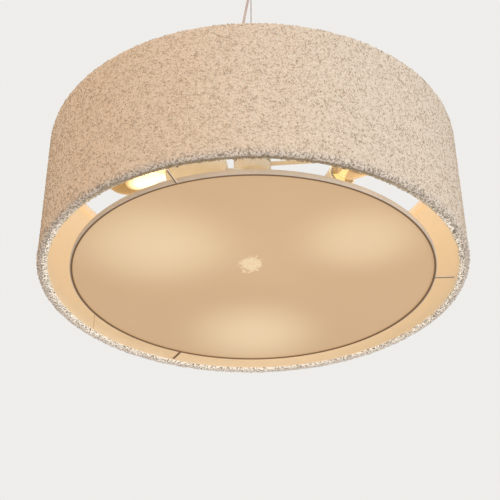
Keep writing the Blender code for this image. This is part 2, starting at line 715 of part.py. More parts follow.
def build_bulb(number, angle):
    """Cap, hollow glass open at its neck, and the glass stem with its four filaments."""
    frame = holder_frame(angle)
    rim = BULB_CAP_EDGE
    inside = BULB_CAP_RADIUS - BULB_CAP_WALL
    floor = BULB_CAP_TIP + BULB_CAP_FLOOR
    outline = [(radius, BULB_CAP_TIP + rise) for radius, rise in BULB_CAP_OUTSIDE]
    outline += [(BULB_CAP_RADIUS, BULB_CAP_TIP + BULB_CAP_SHOULDER), (BULB_CAP_RADIUS, rim), (inside, rim)]
    outline += [(inside, BULB_CAP_TIP + BULB_CAP_INSIDE[1]), (BULB_CAP_INSIDE[0], floor), (0, floor)]
    turned(f"bulb_cap_{number}", outline, ROUND_STEPS, STEEL, frame)

    neck = BULB_NECK
    outer = bulb_outline(BULB_RADIUS, neck, BULB_GLASS_START)
    wall = BULB_GLASS_WALL
    inner = bulb_outline(BULB_RADIUS - wall, neck - wall, BULB_GLASS_START)
    turned(f"bulb_glass_{number}", outer[::-1] + inner, ROUND_STEPS, GLASS, frame)

    flare = neck - BULB_NECK_STEP - wall - GAP
    low, high = (BULB_GLASS_START + rise for rise in STALK_FLARE)
    pin_foot = FILAMENT_FOOT + PIN_RADIUS
    pin_top = FILAMENT_HEAD + PIN_RISE
    outline = [(0, low), (flare, low), (flare, high), STALK_WAIST, STALK_NECK, (STALK_NECK[0], FILAMENT_FOOT)]
    outline += [(PIN_RADIUS, pin_foot), (PIN_RADIUS, pin_top), (0, pin_top)]
    stem = turned(f"bulb_filament_{number}", outline, SMALL_STEPS, FILAMENT, frame)
    for i in range(FILAMENT_COUNT):
        around = 360 * i / FILAMENT_COUNT + FILAMENT_TURN
        inner = polar(FILAMENT_INSIDE, around, FILAMENT_FOOT - FILAMENT_SINK)
        foot = polar(FILAMENT_ROOT, around, FILAMENT_FOOT)
        head = polar(FILAMENT_SPREAD, around, FILAMENT_HEAD)
        hook = polar(FILAMENT_HOOK, around, FILAMENT_HEAD + FILAMENT_HOOK_RISE)
        join(stem, tube_mesh([inner, foot, head, hook], FILAMENT_RADIUS, 0), frame)


def build_nuts():
    """Hexagon nuts on the arms' ends, inside the hub and inside the holders."""
    across = (ARM_RADIUS + GAP) / HEX_TO_ROUND
    floor = level(HUB_UNDERSIDE) + HUB_WALL + GAP
    back = HOLDER_BACK + HOLDER_END_WALL + GAP
    hub_nut = turned_mesh(ring_outline(across, NUT_RADIUS, floor, floor + NUT_HEIGHT), 6)
    holder_nut = turned_mesh(ring_outline(across, NUT_RADIUS, back, back + NUT_HEIGHT), 6)
    for number, angle in enumerate(HOLDER_ANGLES, 1):
        hub_place = Matrix.Translation(polar(ARM_CIRCLE, arm_azimuth(angle), 0))
        piece(f"arm_nut_{number}", hub_nut, STEEL, hub_place)
        piece(f"holder_nut_{number}", holder_nut, STEEL, holder_frame(angle))


def build_shade():
    """Spider and top ring, bottom ring, lining with its lapped seam, and the thick wool cover."""
    top = level(SHADE_HEIGHT)
    disc_top = top - SPIDER_SINK
    disc_bottom = disc_top - SPIDER_DISC_THICKNESS
    ring_level = (disc_top + disc_bottom) / 2
    hole = STEM_RADIUS + GAP
    spider = turned("shade_spider", ring_outline(hole, SPIDER_DISC_RADIUS, disc_bottom, disc_top),
                    ROUND_STEPS, WHITE_PAINT)
    circle = [polar(FRAME_RING_RADIUS, 360 * i / SHADE_STEPS, ring_level) for i in range(SHADE_STEPS)]
    for angle in SPIDER_ANGLES:
        start = (SPIDER_DISC_RADIUS + STEM_RADIUS) / 2 + NUT_RADIUS / 2
        length = FRAME_RING_RADIUS - start
        size = (length, SPIDER_BAR_WIDTH, SPIDER_BAR_THICKNESS)
        turn = Matrix.Rotation(math.radians(angle), 4, "Z")
        join(spider, box_mesh(size, (start + length / 2, 0, ring_level)), turn)
    join(spider, tube_mesh(circle, FRAME_WIRE, 1, True))
    flex_spot = -FLEX_HUB_OFFSET
    cut(spider, rod_mesh(2 * FLEX_RADIUS, (flex_spot, -GAP, disc_bottom - HUB_WALL),
                         (flex_spot, -GAP, disc_top + HUB_WALL)))

    ring_bottom = level(HEM_THICKNESS + GAP + FRAME_WIRE)
    circle = [polar(FRAME_RING_RADIUS, 360 * i / SHADE_STEPS, ring_bottom) for i in range(SHADE_STEPS)]
    piece("shade_bottom_ring", tube_mesh(circle, FRAME_WIRE, 1, True), WHITE_PAINT)

    wall = SHADE_RADIUS - FABRIC_THICKNESS
    lining_outer = wall - GAP
    lining_bottom = ring_bottom + FRAME_WIRE + GAP
    lining_top = ring_level - FRAME_WIRE - GAP
    lining_inner = lining_outer - LINING_THICKNESS
    lining = turned("shade_lining", ring_outline(lining_inner, lining_outer, lining_bottom, lining_top),
                    SHADE_STEPS, LINING)
    # The lap of the seam lies flat on the facet that it falls on
    step = 360 / SHADE_STEPS
    middle = (LINING_SEAM_ANGLE // step + 0.5) * step
    face = lining_inner * math.cos(math.pi / SHADE_STEPS)
    aside = face * math.tan(math.radians(LINING_SEAM_ANGLE - middle))
    depth = LINING_SEAM_STEP + LINING_THICKNESS / 2
    lap = box_mesh((depth, LINING_SEAM_WIDTH, lining_top - lining_bottom),
                   (face - LINING_SEAM_STEP + depth / 2, aside, (lining_top + lining_bottom) / 2))
    join(lining, lap, Matrix.Rotation(math.radians(middle), 4, "Z"))

    edge = FABRIC_EDGE_ROUND
    outer = SHADE_RADIUS
    lip = HEM_RADIUS + HEM_THICKNESS
    bottom = level(0)
    outline = [(HEM_RADIUS, bottom)]
    outline += arc((outer - edge, bottom + edge), edge, -90, 0, 3)
    outline += arc((outer - edge, top - edge), edge, 0, 90, 3)
    outline += [(HEM_RADIUS, top), (HEM_RADIUS, top - TOP_BAND), (lip, top - TOP_BAND)]
    outline += [(lip, top - HEM_THICKNESS)]
    outline += [(wall, top - HEM_THICKNESS), (wall, bottom + HEM_THICKNESS), (lip, bottom + HEM_THICKNESS)]
    outline += [(lip, bottom + HEM_LIP), (HEM_RADIUS, bottom + HEM_LIP)]
    fabric = turned("shade_fabric", outline, SHADE_STEPS, WOOL)
    for angle in SPIDER_ANGLES:
        size = (NOTCH_DEPTH, SPIDER_BAR_WIDTH + 2 * GAP, TOP_BAND)
        bar_top = ring_level + SPIDER_BAR_THICKNESS / 2 + GAP
        turn = Matrix.Rotation(math.radians(angle), 4, "Z")
        cut(fabric, box_mesh(size, (lip, 0, bar_top - TOP_BAND / 2)), turn)


def build_diffuser():
    """Opal disc in a shallow hoop, with three cranked struts that rest on the shade's lower ring."""
    bottom = level(DIFFUSER_UNDERSIDE)
    inner = DIFFUSER_RADIUS - DIFFUSER_RIM_WALL
    lip_top = bottom + DIFFUSER_LIP_THICKNESS
    outline = [(DIFFUSER_RADIUS, bottom + DIFFUSER_RIM_HEIGHT), (DIFFUSER_RADIUS, bottom),
               (inner - DIFFUSER_LIP, bottom), (inner - DIFFUSER_LIP, lip_top), (inner, lip_top),
               (inner, bottom + DIFFUSER_RIM_HEIGHT)]
    rim = turned("diffuser_rim", outline, SHADE_STEPS, WHITE_PAINT)
    rest = level(HEM_THICKNESS + GAP + 2 * FRAME_WIRE + GAP + STRUT_WIRE)
    low = level(STRUT_HEIGHT)
    tip = SHADE_RADIUS - FABRIC_THICKNESS - LINING_THICKNESS - 3 * GAP
    crank = DIFFUSER_RADIUS + STRUT_STRAIGHT
    for angle in STRUT_ANGLES:
        points = [polar(DIFFUSER_RADIUS - DIFFUSER_RIM_WALL / 2, angle, low), polar(crank, angle, low),
                  polar(crank + STRUT_SLOPE, angle, rest), polar(tip, angle, rest)]
        join(rim, tube_mesh(rounded_route(points, (STRUT_BEND, STRUT_BEND), 3), STRUT_WIRE, 1))

    sheet_bottom = lip_top + GAP
    outline = [(0, sheet_bottom), (inner - GAP, sheet_bottom), (inner - GAP, sheet_bottom + DIFFUSER_SHEET),
               (0, sheet_bottom + DIFFUSER_SHEET)]
    turned("diffuser_sheet", outline, SHADE_STEPS, OPAL)


def main():
    for old in list(bpy.data.objects):
        bpy.data.objects.remove(old)
    bpy.context.scene.collection.children.link(PARTS)
    bpy.context.scene.collection.children.link(CUTTERS)
    build_ceiling_fitting()
    build_gripper()
    build_suspension()
    build_hub()
    build_nuts()
    for number, angle in enumerate(HOLDER_ANGLES, 1):
        build_arm(number, angle)
        build_holder(number, angle)
        build_bulb(number, angle)
    build_shade()
    build_diffuser()


main()
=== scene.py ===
# %% [markdown]
# # A wool drum pendant, lit
# The lamp is a drum of looped wool round a pale lining, with an opal disc across its mouth and three clear
# bulbs above the disc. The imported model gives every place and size, and this file gives each surface its look.

# %% Load the frame
import math

import bmesh
import bpy
import numpy as np
from mathutils import Matrix, Vector


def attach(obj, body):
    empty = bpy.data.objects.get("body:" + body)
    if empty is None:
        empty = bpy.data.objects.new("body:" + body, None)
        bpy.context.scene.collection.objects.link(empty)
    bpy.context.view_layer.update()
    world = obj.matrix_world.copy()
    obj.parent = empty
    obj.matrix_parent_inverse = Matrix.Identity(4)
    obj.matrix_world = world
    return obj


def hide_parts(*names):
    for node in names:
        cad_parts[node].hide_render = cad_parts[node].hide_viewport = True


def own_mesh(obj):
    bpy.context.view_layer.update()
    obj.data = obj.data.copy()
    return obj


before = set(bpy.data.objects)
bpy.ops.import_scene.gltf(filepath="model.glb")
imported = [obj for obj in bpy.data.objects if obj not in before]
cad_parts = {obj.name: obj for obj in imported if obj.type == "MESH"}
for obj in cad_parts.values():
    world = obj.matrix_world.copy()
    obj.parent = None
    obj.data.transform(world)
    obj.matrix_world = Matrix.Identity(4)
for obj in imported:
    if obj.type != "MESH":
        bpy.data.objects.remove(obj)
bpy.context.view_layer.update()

bpy.context.scene.view_settings.view_transform = "Standard"

# %% [markdown]
# The camera hangs below and in front of the lamp and looks up at it. Its place and its focal length follow
# from the ellipses of the drum's rims, so the drum keeps its proportions in the picture.

# %% Camera
FOCAL_SHARE = 2.1346
SENSOR_WIDTH = 36.0
CAMERA_PLACE = np.array([0.0, -0.9736, -1.0607])
CAMERA_PITCH = 0.5519
CAMERA_YAW = -0.0034
CAMERA_ROLL = -0.0071


def in_scene(name, data):
    """A new object with this data, linked into the scene."""
    thing = bpy.data.objects.new(name, data)
    bpy.context.collection.objects.link(thing)
    return thing


def camera_axes(pitch, yaw, roll):
    """Right, up and backward: heading and pitch give the line of sight, and the roll turns the rest."""
    ahead = np.array([math.sin(yaw) * math.cos(pitch), math.cos(yaw) * math.cos(pitch), math.sin(pitch)])
    level_right = np.array([math.cos(yaw), -math.sin(yaw), 0.0])
    level_up = np.cross(level_right, ahead)
    right = math.cos(roll) * level_right + math.sin(roll) * level_up
    up = -math.sin(roll) * level_right + math.cos(roll) * level_up
    return right, up, -ahead


camera_data = bpy.data.cameras.new("camera")
camera_data.sensor_width = SENSOR_WIDTH
camera_data.lens = FOCAL_SHARE * SENSOR_WIDTH
camera = in_scene("camera", camera_data)
turn = Matrix(np.array(camera_axes(CAMERA_PITCH, CAMERA_YAW, CAMERA_ROLL)).T.tolist()).to_4x4()
camera.matrix_world = Matrix.Translation(CAMERA_PLACE.tolist()) @ turn
bpy.context.scene.camera = camera
print(f"lens {camera_data.lens:.2f} mm")

# %% [markdown]
# Heights are counted from the shade's lower rim, half a metre under the ceiling, as someone at a bench
# would measure the drum. One small function turns such a height into the frame's own z.

# %% Sizes shared by several pieces
DROP = 0.500
SHADE_HEIGHT = 0.154
SHADE_RADIUS = 0.2235
HEM_RADIUS = 0.2134
FRAME_RING_RADIUS = 0.2157
GAP = 0.0003
BORE = 0.0043


def level(height):
    """A height above the lower rim as z: the height less the drop from the ceiling."""
    return height - DROP


print(f"drum {2000 * SHADE_RADIUS:.0f} mm wide and {1000 * SHADE_HEIGHT:.0f} mm high")

# %% [markdown]
# Nearly everything here is a surface over two parameters, such as an angle and a way along an outline. A
# grid of points becomes quads in one step, and grids that belong together share a mesh. Blender's modifiers
# could build the same shapes, but whole arrays are quicker and give the same points on every run.

# %% Grids into meshes
SHARP_ANGLE = math.radians(42.0)
MERGE_DISTANCE = 0.0000005


def grid_faces(rows, columns, wrap_rows, wrap_columns):
    """Quads between neighbouring points of a grid. A wrapped side joins its start."""
    index = np.arange(rows * columns).reshape(rows, columns)
    here = index if wrap_rows else index[:-1]
    below = np.roll(index, -1, 0) if wrap_rows else index[1:]
    if not wrap_columns:
        return np.stack([here[:, :-1], here[:, 1:], below[:, 1:], below[:, :-1]], -1).reshape(-1, 4)
    return np.stack([here, np.roll(here, -1, 1), np.roll(below, -1, 1), below], -1).reshape(-1, 4)


def signed_volume(points, faces):
    """Six times the volume inside quads: the sum of each half quad's triple product."""
    corner = points[faces]
    first = np.einsum("ij,ij->", corner[:, 0], np.cross(corner[:, 1], corner[:, 2]))
    return first + np.einsum("ij,ij->", corner[:, 0], np.cross(corner[:, 2], corner[:, 3]))


print("quads of a tube of 4 rings and 6 sides:", len(grid_faces(4, 6, False, True)))

# %% [markdown]
# Blender takes a mesh fastest as flat lists: the points, the point at each corner, and where each face starts.
# A piece then rides on one of the moving bodies and may hide the plain solids whose place it takes.

# %% Meshes into pieces
def mesh_of(name, points, corners, starts, finish):
    """A mesh from its points, the point at each corner and the first corner of each face."""
    mesh = bpy.data.meshes.new(name)
    mesh.vertices.add(len(points))
    mesh.vertices.foreach_set("co", points.astype(np.float32).ravel())
    mesh.loops.add(len(corners))
    mesh.loops.foreach_set("vertex_index", corners.astype(np.int32))
    mesh.polygons.add(len(starts))
    mesh.polygons.foreach_set("loop_start", starts.astype(np.int32))
    mesh.update(calc_edges=True)
    mesh.validate()
    mesh.materials.append(finish)
    return mesh


def dressed(name, data, body, slot, *nodes):
    """A piece of the part: it rides on a body and may take the place of solids. The slot is not used."""
    piece = in_scene(name, data)
    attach(piece, body)
    if nodes:
        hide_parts(*nodes)
    return piece


def made_piece(name, grids, body, finish, slot, *nodes, keep_sides=False):
    """One object from grids of (points, wrap_rows, wrap_columns). Each grid's faces are turned outwards."""
    all_points, all_faces, count = [], [], 0
    for points, wrap_rows, wrap_columns in grids:
        flat = points.reshape(-1, 3)
        faces = grid_faces(*points.shape[:2], wrap_rows, wrap_columns)
        if not keep_sides and signed_volume(flat, faces) < 0:
            faces = faces[:, ::-1]
        all_points.append(flat)
        all_faces.append(faces + count)
        count += len(flat)
    corners = np.concatenate(all_faces).ravel()
    mesh = mesh_of(name, np.concatenate(all_points), corners, np.arange(0, len(corners), 4), finish)
    shape = bmesh.new()
    shape.from_mesh(mesh)
    bmesh.ops.remove_doubles(shape, verts=shape.verts, dist=MERGE_DISTANCE)
    shape.to_mesh(mesh)
    shape.free()
    mesh.shade_smooth()
    mesh.set_sharp_from_angle(angle=SHARP_ANGLE)
    print(f"{name}: {len(corners) // 2} triangles")
    return dressed(name, mesh, body, slot, *nodes)


def face_centres(piece):
    """The middle of each face."""
    centres = np.empty(len(piece.data.polygons) * 3, dtype=np.float32)
    piece.data.polygons.foreach_get("center", centres)
    return centres.reshape(-1, 3)


def share_out(piece, finishes, index):
    """More finishes after the first one, and each face's index among them all."""
    for finish in finishes:
        piece.data.materials.append(finish)
    piece.data.polygons.foreach_set("material_index", index.astype(np.int32))
    piece.data.update()


# %% [markdown]
# Turned pieces start as an outline of radius and height. Real edges are never knife sharp, so each corner
# of the outline is exchanged for a small arc before it is turned. A bevel modifier would do it too, but the
# arc made here keeps to the outline and never folds over at a thin wall.

# %% Outlines
STRAIGHT = 1.55
CORNER_SHARE = 0.45


def about_axis(radius, angle, z):
    """Points round the Z axis: x = r cos a, y = r sin a, for numbers or whole arrays."""
    return np.stack(np.broadcast_arrays(radius * np.cos(angle), radius * np.sin(angle), z), -1)


def polar(radius, degrees, z):
    return about_axis(radius, np.radians(degrees), z)


def full_turn(count):
    """Evenly spaced angles round the axis, without the last one that would close the turn."""
    return np.linspace(0, 2 * np.pi, count, endpoint=False)


def evenly(points, count):
    """The same line through evenly spaced points: linear steps over the way along it. Also its length."""
    along = np.concatenate([[0], np.cumsum(np.linalg.norm(np.diff(points, axis=0), axis=1))])
    wanted = np.linspace(0, along[-1], count)
    return np.stack([np.interp(wanted, along, column) for column in points.T], -1), along[-1]


def softened(points, radius, steps=4):
    """Each inner corner becomes an arc: two tangent points at radius / tan(half angle), and a blend."""
    points = np.asarray(points, float)
    found = [points[0]]
    for before, corner, after in zip(points, points[1:], points[2:]):
        back, on = before - corner, after - corner
        reach_back, reach_on = np.linalg.norm(back), np.linalg.norm(on)
        back, on = back / reach_back, on / reach_on
        half = math.acos(float(np.clip(back @ on, -1, 1))) / 2
        room = CORNER_SHARE * min(reach_back, reach_on)
        away = min(radius / math.tan(half), room) if half < STRAIGHT else 0.0
        share = np.linspace(0, 1, steps + 1)[:, None]
        found.extend((1 - share) ** 2 * (corner + away * back) + 2 * share * (1 - share) * corner
                     + share ** 2 * (corner + away * on))
    found.append(points[-1])
    return np.array(found)


print("points of one softened corner:", len(softened([(0, 0), (1, 0), (1, 1)], 0.1)))

# %% [markdown]
# Most hard parts of a lamp are turned on a lathe, so the same is done here: the outline goes once round the
# axis. Three sections come up again and again and have a name: the flat ring, the cup and the stepped plug.

# %% Lathe
ON_AXIS = 1e-7


def placed(points, frame_matrix):
    """Points of a piece's own space moved into the lamp's: rotation times point, plus the place."""
    matrix = np.array(frame_matrix)
    return points @ matrix[:3, :3].T + matrix[:3, 3]


def lathe(outline, steps=64, edge=0.0004, frame_matrix=np.eye(4)):
    """The outline turned about Z. An outline that starts off the axis is a closed loop."""
    outline = np.asarray(outline, float)
    loop = outline[0, 0] > ON_AXIS
    if loop:
        middle = (outline[-1] + outline[0]) / 2
        outline = np.vstack([middle, outline, middle])
    fine = softened(outline, edge)
    if loop:
        fine = fine[:-1]
    return placed(about_axis(fine[:, :1], full_turn(steps), fine[:, 1:]), frame_matrix), loop, True


def turned(name, outline, steps, edge, body, finish, slot, *nodes, place=np.eye(4)):
    """A piece with a single turned outline."""
    return made_piece(name, [lathe(outline, steps, edge, place)], body, finish, slot, *nodes)


def washer(first, second, low, high):
    """The section of a flat ring or, from radius 0, of a disc."""
    return [(first, low), (second, low), (second, high), (first, high)]


def dish(bore, radius, floor, mouth, wall):
    """The section of a cup with a hole in its floor."""
    return [(bore, floor), (radius, floor), (radius, mouth), (radius - wall, mouth),
            (radius - wall, floor + math.copysign(wall, mouth - floor)),
            (bore, floor + math.copysign(wall, mouth - floor))]


def stepped(bore, first, second, low, middle, high):
    """The section of a bored plug in two widths: the first up to the middle, the second from there on."""
    return [(bore, low), (first, low), (first, middle), (second, middle), (second, high), (bore, high)]


print("a ring with softened edges:", lathe(washer(1, 2, 0, 1), 12)[0].shape, "rows, columns, numbers")

# %% [markdown]
# Bent rods and wires are tubes. Each ring of points is carried on from the one before with the least turn, so
# a tube doesn't twist. The ends close to points, which makes the tube a closed body.

# %% Tubes
ANY_SIDE = (0.3, 0.2, 1.0)


def tube(route, radius, sides=16, closed=False):
    """Rings about a route: the sides turn in the plane across its direction, and the ends close to points."""
    route = np.asarray(route, float)
    ahead = np.roll(route, -1, 0) - np.roll(route, 1, 0) if closed else np.gradient(route, axis=0)
    ahead /= np.linalg.norm(ahead, axis=1, keepdims=True)
    across = np.empty_like(ahead)
    start = np.cross(ahead[0], ANY_SIDE)
    across[0] = start / np.linalg.norm(start)
    for i in range(1, len(route)):
        step = across[i - 1] - (across[i - 1] @ ahead[i]) * ahead[i]
        across[i] = step / np.linalg.norm(step)
    other = np.cross(ahead, across)
    angle = full_turn(sides)[None, :, None]
    grid = route[:, None] + radius * (np.cos(angle) * across[:, None] + np.sin(angle) * other[:, None])
    if not closed:
        first, last = (np.repeat(end[None, None], sides, 1) for end in (route[0], route[-1]))
        grid = np.concatenate([first, grid, last])
    return grid, closed, True


print("a straight rod:", tube([(0, 0, 0), (0, 0, 1), (0, 0, 2)], 0.1)[0].shape, "rows, columns, numbers")

# %% [markdown]
# Every finish is a small graph of shader nodes, so that it stays sharp from close up and needs no pictures.
# One helper makes a node and fills its inputs; the others give the few nodes that come up often.

# %% Shader nodes
CLOUD_LOW, CLOUD_HIGH = 0.3, 0.7
FINE_RELIEF = 0.0002


def fill(node, inputs):
    """Each named input takes a socket, a number, a vector or a colour."""
    for name, value in inputs.items():
        socket = node.inputs[name]
        if isinstance(value, bpy.types.NodeSocket):
            node.id_data.links.new(value, socket)
        else:
            socket.default_value = (*value, 1.0) if socket.type == "RGBA" else value


def node_of(beside, kind, inputs, **settings):
    """A new node in the graph that the given socket or node belongs to."""
    node = beside.id_data.nodes.new("ShaderNode" + kind)
    for name, value in settings.items():
        setattr(node, name, value)
    fill(node, inputs)
    return node


def nodes_of(name, colour, roughness, metallic=0.0):
    """A material with its shader and its object coordinates."""
    material = bpy.data.materials.new(name)
    material.use_nodes = True
    shader = material.node_tree.nodes["Principled BSDF"]
    fill(shader, {"Base Color": colour, "Roughness": roughness, "Metallic": metallic})
    return material, shader, node_of(shader, "TexCoord", {}).outputs["Object"]


def noise_of(place, scale, detail=3.0):
    return node_of(place, "TexNoise", {"Vector": place, "Scale": scale, "Detail": detail}).outputs["Fac"]


def ramp_of(factor, stops):
    """A colour ramp through (place, colour) stops."""
    ramp = node_of(factor, "ValToRGB", {"Fac": factor})
    while len(ramp.color_ramp.elements) < len(stops):
        ramp.color_ramp.elements.new(0.5)
    for element, (place, colour) in zip(ramp.color_ramp.elements, stops):
        element.position = place
        element.color = (*colour, 1.0)
    return ramp.outputs["Color"]


def range_of(value, low, high, to_low, to_high, kind="LINEAR"):
    """The value carried from one range to another, and held at its ends."""
    inputs = {"Value": value, "From Min": low, "From Max": high, "To Min": to_low, "To Max": to_high}
    return node_of(value, "MapRange", inputs, interpolation_type=kind).outputs["Result"]


def cloud_of(place, scale, to_low, to_high, detail=3.0):
    """A slow cloud, as a number between two ends."""
    return range_of(noise_of(place, scale, detail), CLOUD_LOW, CLOUD_HIGH, to_low, to_high)


def joined(kind, first, second=0.0):
    """One arithmetic step on one or two values."""
    return node_of(first, "Math", {0: first, 1: second}, operation=kind).outputs["Value"]


def mixed(share, first, second):
    """A colour between two colours."""
    return node_of(share, "MixRGB", {"Fac": share, "Color1": first, "Color2": second}).outputs["Color"]


def split_up(place):
    """The coordinates as three numbers."""
    return node_of(place, "SeparateXYZ", {"Vector": place}).outputs


def distance_to(place, centre, stretch=(1, 1, 1)):
    """Distance from a point, after each axis is scaled: the length of (place - centre) times stretch."""
    away = node_of(place, "VectorMath", {0: place, 1: tuple(centre)}, operation="SUBTRACT")
    scaled = node_of(place, "VectorMath", {0: away.outputs["Vector"], 1: stretch}, operation="MULTIPLY")
    return node_of(place, "VectorMath", {0: scaled.outputs["Vector"]}, operation="LENGTH").outputs["Value"]


def bump_of(shader, height, strength, distance=FINE_RELIEF):
    bump = node_of(shader, "Bump", {"Strength": strength, "Distance": distance, "Height": height})
    fill(shader, {"Normal": bump.outputs["Normal"]})


print("kinds of node with a helper: noise, ramp, range, arithmetic, mix, distance, bump")

# %% [markdown]
# Paint, metal and plastic share one recipe: a fine grain lifts the surface a little, a slow cloud moves the
# colour a few percent, and the same cloud breaks up the gloss. Each finish sets its own scale and strength.
# The holders' paint and brass also glow a little, because the bulbs light them from very near.

# %% Paint, metal and plastic
CLOUD_SCALE = 35.0
CREAM = (0.82, 0.80, 0.71)
LAMPLIGHT = (1.0, 0.78, 0.46)


def hard_finish(name, colour, roughness, metallic=0.0, grain=900.0, lift=0.15, mottle=0.05, **sockets):
    """Paint, metal or plastic; further sockets of the shader are given by name."""
    material, shader, place = nodes_of(name, colour, roughness, metallic)
    cloud = noise_of(place, CLOUD_SCALE)
    dark = [max(c * (1 - 2 * mottle), 0) for c in colour]
    light = [min(c * (1 + mottle), 1) for c in colour]
    gloss = range_of(cloud, CLOUD_LOW, CLOUD_HIGH, roughness * 0.85, min(roughness * 1.2, 1))
    fill(shader, {"Base Color": ramp_of(cloud, [(CLOUD_LOW, dark), (CLOUD_HIGH, light)]),
                        "Roughness": gloss})
    bump_of(shader, noise_of(place, grain, 2.0), lift)
    fill(shader, {socket.replace("_", " "): value for socket, value in sockets.items()})
    return material


CREAM_PAINT = hard_finish("cream_powder_coat", CREAM, 0.42, grain=1400.0, lift=0.25)
LIT_CREAM = hard_finish("lit_cream_paint", CREAM, 0.42, grain=1400.0, lift=0.25,
                        Emission_Color=LAMPLIGHT, Emission_Strength=0.10)
LIT_BRASS = hard_finish("lit_brass", (0.84, 0.68, 0.40), 0.35, 1.0, grain=1800.0, lift=0.1,
                        Emission_Color=LAMPLIGHT, Emission_Strength=0.40)
BRIGHT_STEEL = hard_finish("bright_steel", (0.62, 0.61, 0.59), 0.25, 1.0, grain=2200.0, lift=0.08)
ZINC = hard_finish("zinc_plated_steel", (0.55, 0.55, 0.53), 0.38, 1.0, grain=1500.0, lift=0.2)
BRASS = hard_finish("satin_brass", (0.74, 0.54, 0.26), 0.3, 1.0, grain=1800.0, lift=0.1)
NYLON = hard_finish("white_nylon", (0.80, 0.78, 0.72), 0.45, grain=1200.0, Subsurface_Weight=0.1)
CERAMIC = hard_finish("glazed_ceramic", (0.80, 0.78, 0.73), 0.28, grain=500.0, lift=0.1, Coat_Weight=0.4)
HOOP_PAINT = hard_finish("diffuser_hoop_paint", (0.74, 0.70, 0.66), 0.5, grain=1400.0, lift=0.2)
# The hoop lip's dark brown is painted shade under the hoop.
LIP_PAINTED_SHADE = hard_finish("shaded_hoop_lip", (0.28, 0.16, 0.07), 0.6, grain=1400.0, lift=0.2)
# A strut's two finishes are one cream paint, lit and shaded: a painted highlight on its room-lit side and
# painted shade on the rest.
STRUT_PAINTED_HIGHLIGHT = hard_finish("lit_strut_paint", (0.84, 0.75, 0.64), 0.5, grain=1400.0, lift=0.2)
STRUT_PAINTED_SHADE = hard_finish("shaded_strut_paint", (0.26, 0.17, 0.10), 0.5, grain=1400.0, lift=0.2)
print("finishes so far:", len(bpy.data.materials))

# %% [markdown]
# The steel cable is drawn tight by the lamp's own weight. Its strands wind round each other, which shows as
# slanting bands. The flex is clear, limp plastic over two pale conductors, and it bows out beside the cable.
# Both are curves with a round section.

# %% Cable and flex
CABLE_RADIUS = 0.0006
CABLE_TOP = -0.014
CABLE_FOOT = level(0.1484)
CABLE_POINTS = 40
FLEX_RADIUS = 0.0015
FLEX_POINTS = 64
FLEX_HUB_OFFSET = -0.0115
FLEX_CUP_OFFSET = -0.014
CLIP_SIDE = -0.0026
SPAN_STEPS = 12
# X, Y and height above the lower rim: round the hub's inside, up beside the cable and into the cup
FLEX_STATIONS = np.array([
    (0.0110, -0.0098, 0.1448), (0.0100, -0.0125, 0.1448), (0.0050, -0.0146, 0.1448),
    (-0.0020, -0.0146, 0.1448), (-0.0080, -0.0118, 0.1448), (-0.0110, -0.0066, 0.1456),
    (-0.0116, -0.0022, 0.1483), (FLEX_HUB_OFFSET, -0.0003, 0.1518), (FLEX_HUB_OFFSET, 0, 0.1564),
    (FLEX_HUB_OFFSET, 0, 0.1644), (-0.0122, 0, 0.1763), (-0.0140, 0, 0.2054), (-0.0156, 0, 0.2502),
    (-0.0148, 0, 0.3051), (-0.0118, 0, 0.3451), (-0.0087, 0, 0.3725), (-0.0038, 0, 0.4045),
    (CLIP_SIDE, 0, 0.4130), (CLIP_SIDE, 0, 0.4230), (-0.0048, 0, 0.4320), (-0.0078, 0, 0.4405),
    (-0.0104, 0, 0.4500), (-0.0130, 0, 0.4600), (FLEX_CUP_OFFSET, 0, 0.4680),
    (FLEX_CUP_OFFSET, 0, 0.4740), (-0.0160, 0, 0.4785), (-0.0240, 0, 0.4810),
]) - (0, 0, DROP)


def smooth_route(stations, count):
    """Catmull-Rom: each span is a cubic through its two ends, steered by the stations beyond them."""
    padded = np.vstack([2 * stations[0] - stations[1], stations, 2 * stations[-1] - stations[-2]])
    a, b, c, d = (padded[i:len(padded) - 3 + i, None] for i in range(4))
    t = (np.arange(SPAN_STEPS) / SPAN_STEPS)[None, :, None]
    fine = 0.5 * (2 * b + (c - a) * t + (2 * a - 5 * b + 4 * c - d) * t ** 2 + (3 * b - 3 * c + d - a) * t ** 3)
    return evenly(np.vstack([fine.reshape(-1, 3), stations[-1:]]), count)


def cord_curve(name, route, radius, finish, slot, *nodes):
    """A curve of straight steps with a round section."""
    curve = bpy.data.curves.new(name, "CURVE")
    curve.dimensions = "3D"
    curve.bevel_depth = radius
    curve.bevel_resolution = 4
    curve.use_fill_caps = True
    line = curve.splines.new("POLY")
    line.points.add(len(route) - 1)
    line.points.foreach_set("co", np.hstack([route, np.ones((len(route), 1))]).astype(np.float32).ravel())
    line.use_smooth = True
    curve.materials.append(finish)
    return dressed(name, curve, "lamp", slot, *nodes)


def stranded_steel():
    """Bright metal whose slanting waves stand for the strands."""
    material, shader, place = nodes_of("stranded_steel", (0.66, 0.65, 0.63), 0.3, 1.0)
    bands = node_of(place, "TexWave", {"Vector": place, "Scale": 900.0}, bands_direction="DIAGONAL")
    bump_of(shader, bands.outputs["Fac"], 0.6)
    stops = [(CLOUD_LOW, (0.48, 0.47, 0.46)), (CLOUD_HIGH, (0.72, 0.71, 0.69))]
    fill(shader, {"Base Color": ramp_of(noise_of(place, 120.0), stops)})
    return material


